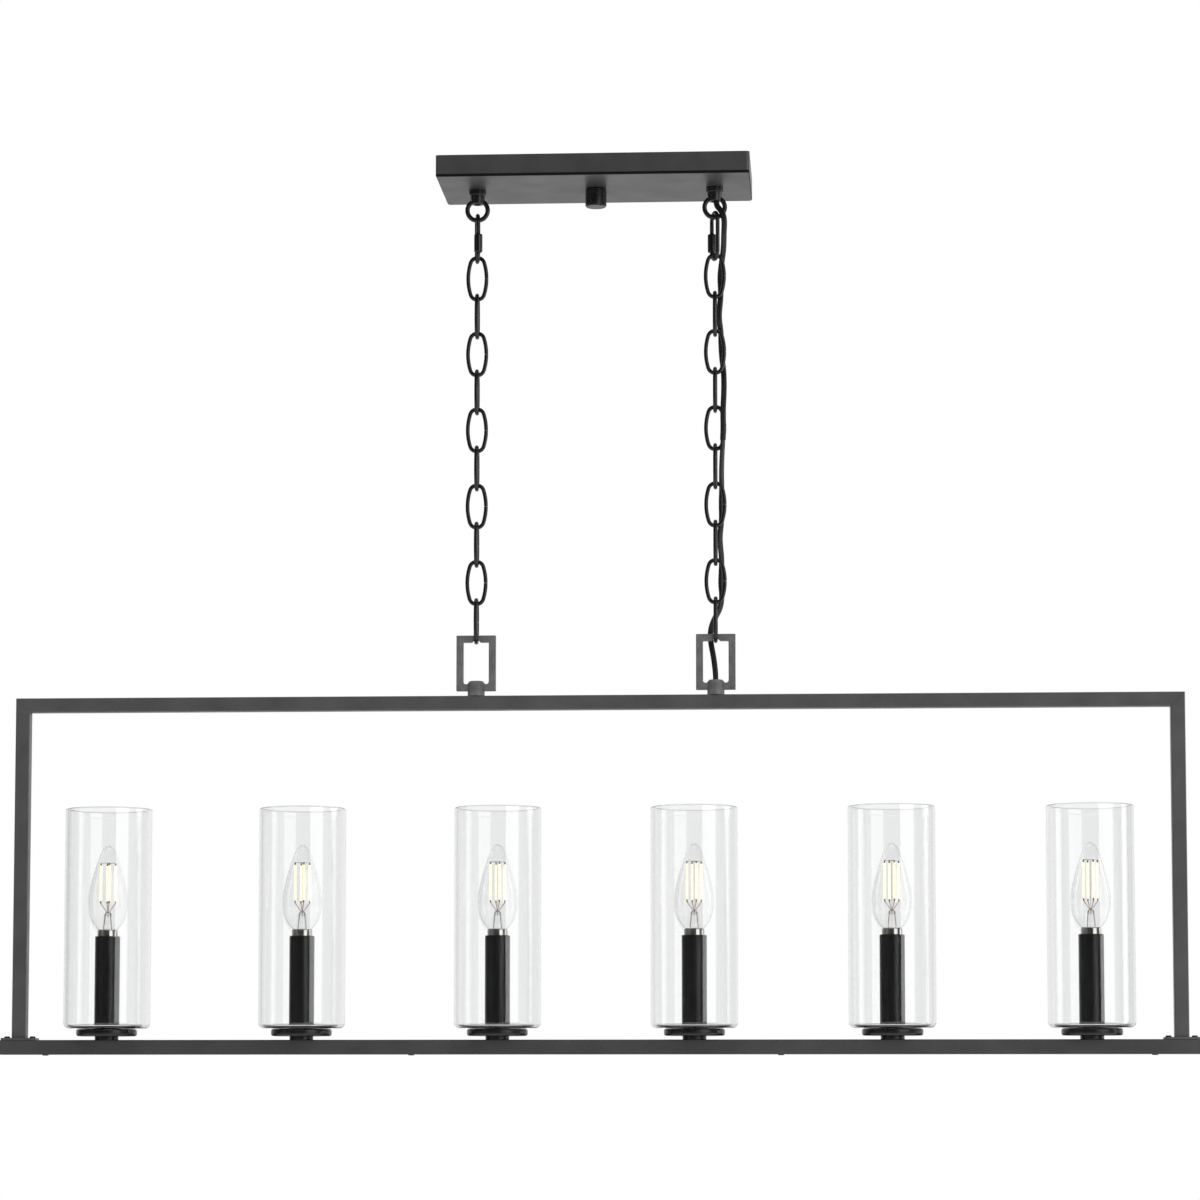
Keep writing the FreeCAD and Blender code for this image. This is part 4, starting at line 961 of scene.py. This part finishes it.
def sweep_line(bm, line, shape_ring, sides):
    """Bridges rings set square to a line; shape_ring gives each ring its section.

    U runs once round the line, and V is the distance along it in centimetres.
    """
    layer = bm.loops.layers.uv.verify()
    rings = []
    around = {}
    turn = Vector((0, 0, 1)).rotation_difference(line[1] - line[0])
    heading = (line[1] - line[0]).normalized()
    travelled = 0.0
    for n, point in enumerate(line):
        ahead = line[min(n + 1, len(line) - 1)] - line[max(n - 1, 0)]
        ahead.normalize()
        turn = heading.rotation_difference(ahead) @ turn
        heading = ahead
        if n:
            travelled += (point - line[n - 1]).length
        made = bmesh.ops.create_circle(bm, cap_ends=False, segments=sides, radius=1.0)["verts"]
        for v in made:
            v.co = shape_ring(v.co, travelled)
        bmesh.ops.transform(bm, matrix=Matrix.Translation(point) @ turn.to_matrix().to_4x4(),
                            verts=made)
        around.update({v: k / sides for k, v in enumerate(made)})
        rings.append((edges_at(made), travelled))
    for (edges, start), (following, _) in zip(rings, rings[1:]):
        faces = bmesh.ops.bridge_loops(bm, edges=edges + following)["faces"]
        for face in faces:
            # The last face round ends at U 1, where the first one starts at 0.
            on_seam = max(around[v] for v in face.verts) > 0.9
            for loop in face.loops:
                u = around[loop.vert]
                loop[layer].uv = (1.0 if on_seam and u == 0 else u, start / 10.0)
    for edges, start in (rings[0], rings[-1]):
        bmesh.ops.contextual_create(bm, geom=edges)


def build_cord():
    """Flat two-core cord, woven down the right chain."""
    x = CHAIN_X["right"]
    line = spline_points("cord_route", [(x + dx, y, z) for dx, y, z in CORD_POINTS])
    half_width = SIZES.cord_width / 2
    half_depth = SIZES.cord_depth / 2

    def flat_section(co, travelled):
        angle = math.atan2(co.y, co.x)
        waist = 1.0 - WAIST_DEPTH * math.exp(-(math.cos(angle) / WAIST_WIDTH) ** 2)
        flat = Vector((math.cos(angle) * half_width, math.sin(angle) * half_depth * waist, 0))
        return Matrix.Rotation(SWAY * math.sin(travelled / SWAY_LENGTH), 3, "Z") @ flat

    for number, (upper, lower, start, end, top, bottom) in enumerate(CORD_STRETCHES, 1):
        inside = [n for n, p in enumerate(line) if bottom < p.z <= top]
        bm = bmesh.new()
        sweep_line(bm, line[inside[0]:inside[-1] + 2], flat_section, 20)
        piece = finish_piece("supply_cord_%d" % number, bm, "cord_vinyl", None, [],
                             60.0, weld=0)
        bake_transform(piece)
        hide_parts("supply_cord")


def build_leads():
    """Two leads from the cord's end, which turn and run to their connectors."""
    x = CHAIN_X["right"]
    level = CORD_POINTS[0][2] + LEAD_LIFT
    rise = SIZES.lead_rise
    turn = SIZES.lead_turn
    spread = SIZES.lead_spread
    for n, (x_end, y_end, finish) in enumerate(LEAD_ENDS):
        y_start = (2 * n - 1) * spread
        line = spline_points("lead_route", [
            (x, y_start, level), (x, y_start, level + rise),
            (x - turn, y_start + turn / 2, level + rise),
            (x_end + turn, y_end - spread * (1 + n), level + SIZES.lead / 2),
            (x_end, y_end, level + LEAD_LIFT)])
        bm = bmesh.new()
        sweep_line(bm, line, lambda co, travelled: co * SIZES.lead / 2, 12)
        finish_piece("supply_lead_%d" % (n + 1), bm, finish, "root", ["supply_leads"],
                     weld=0)


# ---- CAD pieces that keep their own meshes --------------------------------------------

CARRIED = {
    "zinc_plate": ("canopy_stiffener", "mounting_strap", "strap_stud", "stud_nut",
                   "loop_fasteners", "loop_nipples", "cover_bridges", "lamp_nipples",
                   "lamp_nuts", "socket_stems"),
    "green_screw": ("ground_screw",), "nylon_cap": ("wire_connectors",),
    "turned_paint": ("frame_screws",), "bar_coat": ("bar_cover",),
    "black_lead": ("inner_wiring",), "phenolic": ("socket_bodies",),
    "rolled_brass": ("screw_shells",),
}


def dress_carried():
    for finish, nodes in CARRIED.items():
        for node in nodes:
            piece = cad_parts[node]
            piece.data.materials.clear()
            piece.data.materials.append(finish_from(finish))


# ---- Stage --------------------------------------------------------------------------

def white_floor():
    """Matt white paint rolled on a floor: even, with the faintest clouding."""
    material = new_material("matt_white_floor")
    cloud = add_node(material, "ShaderNodeTexNoise", {"Scale": per_mm(400.0), "Detail": 2.0},
                     {"Vector": add_node(material, "ShaderNodeTexCoord").outputs["Object"]})
    tone = add_node(material, "ShaderNodeValToRGB",
                    {"stops": [(0.3, (0.89,) * 3), (0.7, (0.9,) * 3)]}, {"Fac": cloud})
    # The eye sees it a little paler than it lights the pendant; shadows stay on it.
    seen = add_node(material, "ShaderNodeMath", {"operation": "MULTIPLY"},
                    {"Value": add_node(material, "ShaderNodeLightPath").outputs["Is Camera Ray"]})
    seen.inputs[1].default_value = 0.22
    shader = add_node(material, "ShaderNodeBsdfPrincipled",
                      {"Roughness": 0.9, "Emission Color": (1, 1, 1, 1)},
                      {"Base Color": tone, "Emission Strength": seen})
    add_node(material, "ShaderNodeOutputMaterial", links={"Surface": shader})
    return material


# Soft lights: name, place and aim in metres, size in metres, and power in watts.
LIGHTS = [
    ("key_right", (2.9, -3.0, 0.6), (0, 0, -0.5), (3.0, 3.0), 60),
    ("strip_right", (3.0, 0.6, -0.5), (0, 0, -0.5), (1.2, 2.4), 22),
    ("fill_left", (-3.4, -2.2, -0.3), (0, 0, -0.5), (2.4, 3.0), 4),
    ("top", (0, -0.2, 1.6), (0, 0, -0.6), (2.0, 1.2), 16),
]


def soft_light(name, location, target, size, power):
    data = bpy.data.lights.new(name, "AREA")
    data.shape = "RECTANGLE"
    data.size, data.size_y = size
    data.energy = power
    light = bpy.data.objects.new(name, data)
    light.location = location
    light.rotation_euler = (Vector(target) - Vector(location)).to_track_quat("-Z", "Y").to_euler()
    bpy.context.scene.collection.objects.link(light)


def studio_world():
    """White where the eye looks at it, also through glass; its sheen is dark from the front."""
    world = bpy.data.worlds.new("white_studio")
    world.use_nodes = True
    world.node_tree.nodes.clear()
    path = add_node(world, "ShaderNodeLightPath")
    # A path that has met nothing but glass still shows the backdrop itself.
    met = add_node(world, "ShaderNodeMath", {"operation": "ADD"})
    world.node_tree.links.new(path.outputs["Diffuse Depth"], met.inputs[0])
    world.node_tree.links.new(path.outputs["Glossy Depth"], met.inputs[1])
    clear = add_node(world, "ShaderNodeMath", {"operation": "LESS_THAN"})
    clear.inputs[1].default_value = 0.5
    world.node_tree.links.new(met.outputs[0], clear.inputs[0])
    place = add_node(world, "ShaderNodeTexCoord")
    heading = add_node(world, "ShaderNodeSeparateXYZ",
                       links={"Vector": place.outputs["Generated"]})
    sheen = add_node(world, "ShaderNodeMapRange",
                     {"From Min": 0.2, "From Max": 0.9, "To Min": 0.05, "To Max": 0.95},
                     {"Value": heading.outputs["Y"]})
    lit = add_node(world, "ShaderNodeMix", {"data_type": "FLOAT", "B": 0.75},
                   {"Factor": path.outputs["Diffuse Depth"], "A": sheen})
    level = add_node(world, "ShaderNodeMix", {"data_type": "FLOAT", "B": 1.0},
                     {"Factor": clear, "A": lit})
    back = add_node(world, "ShaderNodeBackground", {"Color": (1, 1, 1, 1)}, {"Strength": level})
    add_node(world, "ShaderNodeOutputWorld", links={"Surface": back})
    return world


def camera_place():
    """Camera matrix from its eye point and its yaw, pitch and roll."""
    yaw, pitch, roll = (math.radians(a) for a in (STAGE.yaw, STAGE.pitch, STAGE.roll))
    ahead = Vector((-math.sin(yaw) * math.cos(pitch), math.cos(yaw) * math.cos(pitch),
                    math.sin(pitch)))
    right = Vector((math.cos(yaw), math.sin(yaw), 0))
    up = right.cross(ahead)
    across = math.cos(roll) * right + math.sin(roll) * up
    upward = -math.sin(roll) * right + math.cos(roll) * up
    turn = Matrix((across, upward, -ahead)).transposed().to_4x4()
    return Matrix.Translation(STAGE.eye) @ turn


# ---- Settings -----------------------------------------------------------------------

def length(label, description, millimetres):
    return FloatProperty(name=label, description=description, default=millimetres * MM, min=0.0,
                         unit="LENGTH", subtype="DISTANCE", precision=5)


def colour(label, description, hex_colour):
    return FloatVectorProperty(name=label, description=description, default=linear(hex_colour),
                               min=0.0, max=1.0, size=3, subtype="COLOR")


class InMillimetres:
    """Reads a group's lengths in millimetres, and its counts as they are."""

    def __init__(self, group):
        self.group = group

    def __getattr__(self, name):
        value = getattr(self.group, name)
        return value if isinstance(value, int) else value / MM


class PendantSizes(bpy.types.PropertyGroup):
    """Sizes that the frame's boxes don't give."""
    canopy_corner: length("Canopy corner", "Radius of the canopy's upright corners", 3.0)
    canopy_edge: length("Canopy edge", "Radius round the canopy's underside", 1.8)
    canopy_wall: length("Canopy wall", "Thickness of the canopy's sheet", 1.2)
    knob_head: length("Knob head", "Chamfer round the knob's top", 0.8)
    knob_foot: length("Knob foot", "Chamfer round the knob's foot", 1.0)
    flange_width: length("Flange width", "Across the ring loop's flange", 15.4)
    flange_height: length("Flange height", "Height of the ring loop's flange", 5.0)
    neck_width: length("Neck width", "Across the ring loop's neck", 13.3)
    neck_length: length("Neck length", "From the canopy to the neck's end", 13.0)
    neck_taper: length("Neck taper", "How much the neck's radius narrows downwards", 0.7)
    ring_wire: length("Ring wire", "Thickness of the ring", 4.2)
    stem_width: length("Stem width", "Across threaded stems and nipples", 9.7)
    cord_bore: length("Cord bore", "Hole that the cord passes through", 6.4)
    quick_wire: length("Quick link wire", "Thickness of the quick link", 3.6)
    quick_width: length("Quick link width", "Across the quick link", 18.0)
    quick_opening: length("Quick link opening", "Gap under the sleeve", 6.4)
    sleeve_width: length("Sleeve width", "Across the threaded sleeve", 7.6)
    sleeve_play: length("Sleeve play", "Between the sleeve's bore and the wire", 0.25)
    thread_pitch: length("Thread pitch", "Pitch of the quick link's thread", 0.8)
    chain_wire: length("Chain wire", "Thickness of the chain's wire", 3.6)
    link_end: length("Link end radius", "Radius of the wire round a link's end", 6.4)
    butt_gap: length("Butt gap", "Gap where a link's wire ends meet", 0.3)
    links: IntProperty(name="Links", description="Oval links in one chain", default=10, min=2)
    tube: length("Tube", "Across the frame's square tube", 12.7)
    tube_edge: length("Tube edge", "Radius of the tube's long edges", 1.0)
    mitre_edge: length("Mitre edge", "Break on the edges of a mitre", 0.12)
    foot_corner: length("Foot corner", "Radius of a foot plate's corners", 2.5)
    foot_edge: length("Foot edge", "Rounding of a foot plate's top edge", 0.4)
    bar_edge: length("Bar edge", "Radius of the bar's end corners", 1.6)
    bar_rim: length("Bar rim", "Radius round the bar's top face", 0.9)
    bar_wall: length("Bar wall", "Thickness of the bar's sheet", 1.5)
    loop_bar: length("Loop bar", "Across the bar of a frame loop", 6.2)
    loop_edge: length("Loop edge", "Rounding of a frame loop's edges", 0.5)
    loop_inside: length("Loop inside", "Radius of a loop's lower inner corners", 2.2)
    notch: length("Notch width", "Width of the notch under a loop's top bar", 7.7)
    notch_depth: length("Notch depth", "Depth of that notch", 2.1)
    collar: length("Collar", "Across a frame loop's collar", 15.4)
    collar_height: length("Collar height", "Height of the collar", 13.5)
    collar_gap: length("Collar gap", "From the tube to the loop's lower bar", 4.6)
    collar_foot: length("Collar foot", "Plain height under the collar's grooves", 4.2)
    collar_chamfer: length("Collar chamfer", "Height of the slope at the collar's top", 1.9)
    collar_slope: length("Collar slope", "How far that slope draws the collar in", 1.6)
    collar_grooves: IntProperty(name="Collar grooves", description="Fine grooves round a collar",
                                default=5, min=1)
    holder: length("Glass plate", "Across the plate under a glass", 54.2)
    neck_ring: length("Neck ring", "Across the ring under a plate", 21.2)
    lay_gap: length("Lay gap", "Between a glass and its plate", 0.3)
    step_play: length("Step play", "Between a glass's hole and the step in it", 0.3)
    glass_hole: length("Glass hole", "Hole in a glass's floor", 24.8)
    glass_wall: length("Glass wall", "Thickness of a glass's wall", 3.0)
    glass_floor: length("Glass floor", "Thickness of a glass's floor", 2.6)
    glass_foot: length("Glass foot", "Radius round a glass's foot", 5.0)
    glass_inside: length("Glass inside", "Radius round a glass's inner floor", 2.2)
    glass_rim: length("Glass rim", "Rounding of a glass's fire-polished rim", 1.4)
    candle: length("Candle", "Across a candle sleeve", 22.4)
    candle_wall: length("Candle wall", "Thickness of a candle sleeve", 0.8)
    bulb_wall: length("Bulb wall", "Thickness of a bulb's glass", 0.7)
    cap_collar: length("Cap collar", "Across a bulb's collar", 18.4)
    cap_collar_height: length("Cap collar height", "Height of a bulb's collar", 10.0)
    cap_shell: length("Cap shell", "Across a bulb's screw shell", 11.7)
    stem_glass: length("Bulb stem", "Across the glass stem in a bulb", 8.6)
    stem_height: length("Bulb stem height", "Height of that stem", 16.0)
    strip: length("Strip", "Across a lit strip", 1.9)
    strip_length: length("Strip length", "Length of a lit strip", 31.6)
    strip_lift: length("Strip lift", "From a bulb's collar to its strips", 26.2)
    strip_circle: length("Strip circle", "Circle that the strips stand on", 13.2)
    tab: length("Strip tab", "Metal tab at each end of a strip", 2.3)
    cord_width: length("Cord width", "Width of the two-core cord", 5.2)
    cord_depth: length("Cord depth", "Depth of the two-core cord", 4.0)
    lead: length("Lead", "Across a lead in the canopy", 2.2)
    lead_rise: length("Lead rise", "How far a lead rises before it turns", 3.5)
    lead_turn: length("Lead turn", "Room in which a lead turns", 12.0)
    lead_spread: length("Lead spread", "From the cord's middle to a lead", 1.4)


class PendantColours(bpy.types.PropertyGroup):
    """Colours of the finishes."""
    powder: colour("Powder coat", "Powder on the tubes and foot plates", "#484849")
    # Painted shade: the canopy's coat is the tubes' powder, painted darker.
    canopy: colour("Canopy coat", "Powder on the canopy", "#383839")
    # Painted shade: the bar's coat is the tubes' powder, painted a shade darker.
    bar: colour("Bar coat", "Powder on the long bar", "#3d3d3e")
    casting: colour("Casting paint", "Paint on the two cast loops", "#5d5d5e")
    turned: colour("Turned paint", "Paint on plates, rings and the knob", "#0d0d0e")
    chain: colour("Chain enamel", "Enamel on the chains and quick links", "#0b0b0c")
    cord: colour("Cord jacket", "Jacket of the supply cord", "#0f0f10")
    candle: colour("Candle sleeve", "Sleeves under the bulbs", "#0e0e0f")
    glass: colour("Glass", "What thick glass lets through", "#dfe3e4")
    zinc: colour("Zinc", "Plating on hidden fittings", "#b9bbbb")
    nickel: colour("Nickel", "Plating on bulb caps", "#c9c6c0")
    brass: colour("Brass", "Screw shells in the sockets", "#c9a35c")
    copper: colour("Copper", "Wires inside the bulbs", "#b57c40")
    phenolic: colour("Phenolic", "Bodies of the sockets", "#2a2422")
    green: colour("Earth green", "Earthing screw", "#2f7a45")
    connector: colour("Connector", "Wire connectors", "#c8682c")
    lead_black: colour("Black lead", "Insulation of the live wires", "#1b1b1c")
    lead_white: colour("White lead", "Insulation of the neutral lead", "#d9d8d2")
    glow: colour("Glow", "Lit strips at their beads", "#fff6d8")
    glow_deep: colour("Glow between beads", "Lit strips between their beads", "#ffe5a8")
    glow_strength: FloatProperty(name="Glow strength", description="Brightness of the lit strips",
                                 default=1.25, min=0.0)


class PendantStage(bpy.types.PropertyGroup):
    """Where the pendant is seen from, and what it hangs over."""
    lens: FloatProperty(name="Lens", description="Focal length on a 36 mm sensor",
                        default=118.231, unit="CAMERA")
    eye: FloatVectorProperty(name="Eye", description="Camera position, metres",
                             subtype="TRANSLATION", default=(0.212493, -3.503, -0.842728))
    yaw: FloatProperty(name="Yaw", description="Turn to the left, degrees", default=3.41)
    pitch: FloatProperty(name="Pitch", description="Tilt up, degrees", default=5.186)
    roll: FloatProperty(name="Roll", description="Roll, degrees", default=0.008)
    rise: FloatProperty(name="Shift", description="Upward lens shift", default=0.12)
    floor_level: FloatProperty(name="Floor level", description="Height of the floor, metres",
                               default=-1.7, unit="LENGTH")


SIZES = None
COLOURS = None
STAGE = None


# ---- Operators ----------------------------------------------------------------------

class PENDANT_OT_canopy(bpy.types.Operator):
    """Canopy shell, its knob and its two ring loops"""
    bl_idname = "pendant.canopy"
    bl_label = "Canopy"

    def execute(self, context):
        build_canopy()
        build_knob()
        for side in SIDES:
            build_ring_loop(side)
        return {"FINISHED"}


class PENDANT_OT_chains(bpy.types.Operator):
    """Quick links, their sleeves and the chains of oval links"""
    bl_idname = "pendant.chains"
    bl_label = "Chains"

    def execute(self, context):
        for side in SIDES:
            build_quick_link(side, QUICK_LINK_TURN[side])
        for side in SIDES:
            build_chain(side)
        return {"FINISHED"}


class PENDANT_OT_cord(bpy.types.Operator):
    """Supply cord woven down the right chain, and its leads in the canopy"""
    bl_idname = "pendant.cord"
    bl_label = "Cord"

    def execute(self, context):
        build_cord()
        build_leads()
        return {"FINISHED"}


class PENDANT_OT_frame(bpy.types.Operator):
    """Mitred tubes, foot plates, long bar and the two cast loops"""
    bl_idname = "pendant.frame"
    bl_label = "Frame"

    def execute(self, context):
        build_frame_tubes()
        build_foot_plates()
        build_bottom_bar()
        for side in SIDES:
            build_frame_loop(side)
        return {"FINISHED"}


class PENDANT_OT_lamps(bpy.types.Operator):
    """Plates, glass cylinders, candle sleeves and bulbs"""
    bl_idname = "pendant.lamps"
    bl_label = "Lamps"

    def execute(self, context):
        for number, x in enumerate(LAMP_X, 1):
            build_holder(number, x)
            build_shade(number, x)
            build_candle(number, x)
            build_bulb(number, x)
        return {"FINISHED"}


class PENDANT_OT_inner_pieces(bpy.types.Operator):
    """Finishes for the hidden fittings that keep their own meshes"""
    bl_idname = "pendant.inner_pieces"
    bl_label = "Inner pieces"

    def execute(self, context):
        dress_carried()
        return {"FINISHED"}


class PENDANT_OT_stage(bpy.types.Operator):
    """Pale floor, soft studio light, white surroundings and the camera"""
    bl_idname = "pendant.stage"
    bl_label = "Stage"

    def execute(self, context):
        scene = context.scene
        scene.view_settings.view_transform = "Standard"
        bm = bmesh.new()
        bmesh.ops.create_circle(bm, cap_ends=True, segments=96, radius=9.0,
                                matrix=Matrix.Translation((0, 0, STAGE.floor_level)))
        mesh = bpy.data.meshes.new("studio_floor")
        bm.to_mesh(mesh)
        bm.free()
        floor = bpy.data.objects.new("studio_floor", mesh)
        floor.data.materials.append(white_floor())
        scene.collection.objects.link(floor)

        scene.world = studio_world()
        for light in LIGHTS:
            soft_light(*light)

        data = bpy.data.cameras.new("photo_view")
        data.sensor_width = 36.0
        data.lens = STAGE.lens
        data.shift_y = STAGE.rise
        camera = bpy.data.objects.new("photo_view", data)
        camera.matrix_world = camera_place()
        scene.collection.objects.link(camera)
        scene.camera = camera
        return {"FINISHED"}


class PENDANT_PT_panel(bpy.types.Panel):
    """Builds the pendant piece by piece"""
    bl_idname = "PENDANT_PT_panel"
    bl_label = "Linear Island Pendant"
    bl_space_type = "VIEW_3D"
    bl_region_type = "UI"
    bl_category = "Pendant"

    def draw(self, context):
        for operator in OPERATORS:
            self.layout.operator(operator.bl_idname)
        for group in (context.scene.pendant_sizes, context.scene.pendant_colours,
                      context.scene.pendant_stage):
            for name in type(group).__annotations__:
                self.layout.prop(group, name)


OPERATORS = (PENDANT_OT_stage, PENDANT_OT_cord, PENDANT_OT_canopy, PENDANT_OT_chains,
             PENDANT_OT_frame, PENDANT_OT_lamps, PENDANT_OT_inner_pieces)
CLASSES = (PendantSizes, PendantColours, PendantStage, *OPERATORS, PENDANT_PT_panel)


def register():
    for each in CLASSES:
        bpy.utils.register_class(each)
    bpy.types.Scene.pendant_sizes = bpy.props.PointerProperty(type=PendantSizes)
    bpy.types.Scene.pendant_colours = bpy.props.PointerProperty(type=PendantColours)
    bpy.types.Scene.pendant_stage = bpy.props.PointerProperty(type=PendantStage)


def unregister():
    del bpy.types.Scene.pendant_stage
    del bpy.types.Scene.pendant_colours
    del bpy.types.Scene.pendant_sizes
    for each in reversed(CLASSES):
        bpy.utils.unregister_class(each)


def main():
    global SIZES, COLOURS, STAGE
    register()
    SIZES = InMillimetres(bpy.context.scene.pendant_sizes)
    COLOURS = bpy.context.scene.pendant_colours
    STAGE = bpy.context.scene.pendant_stage
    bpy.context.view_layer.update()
    for operator in OPERATORS:
        group, name = operator.bl_idname.split(".")
        getattr(getattr(bpy.ops, group), name)()


if __name__ == "__main__":
    main()
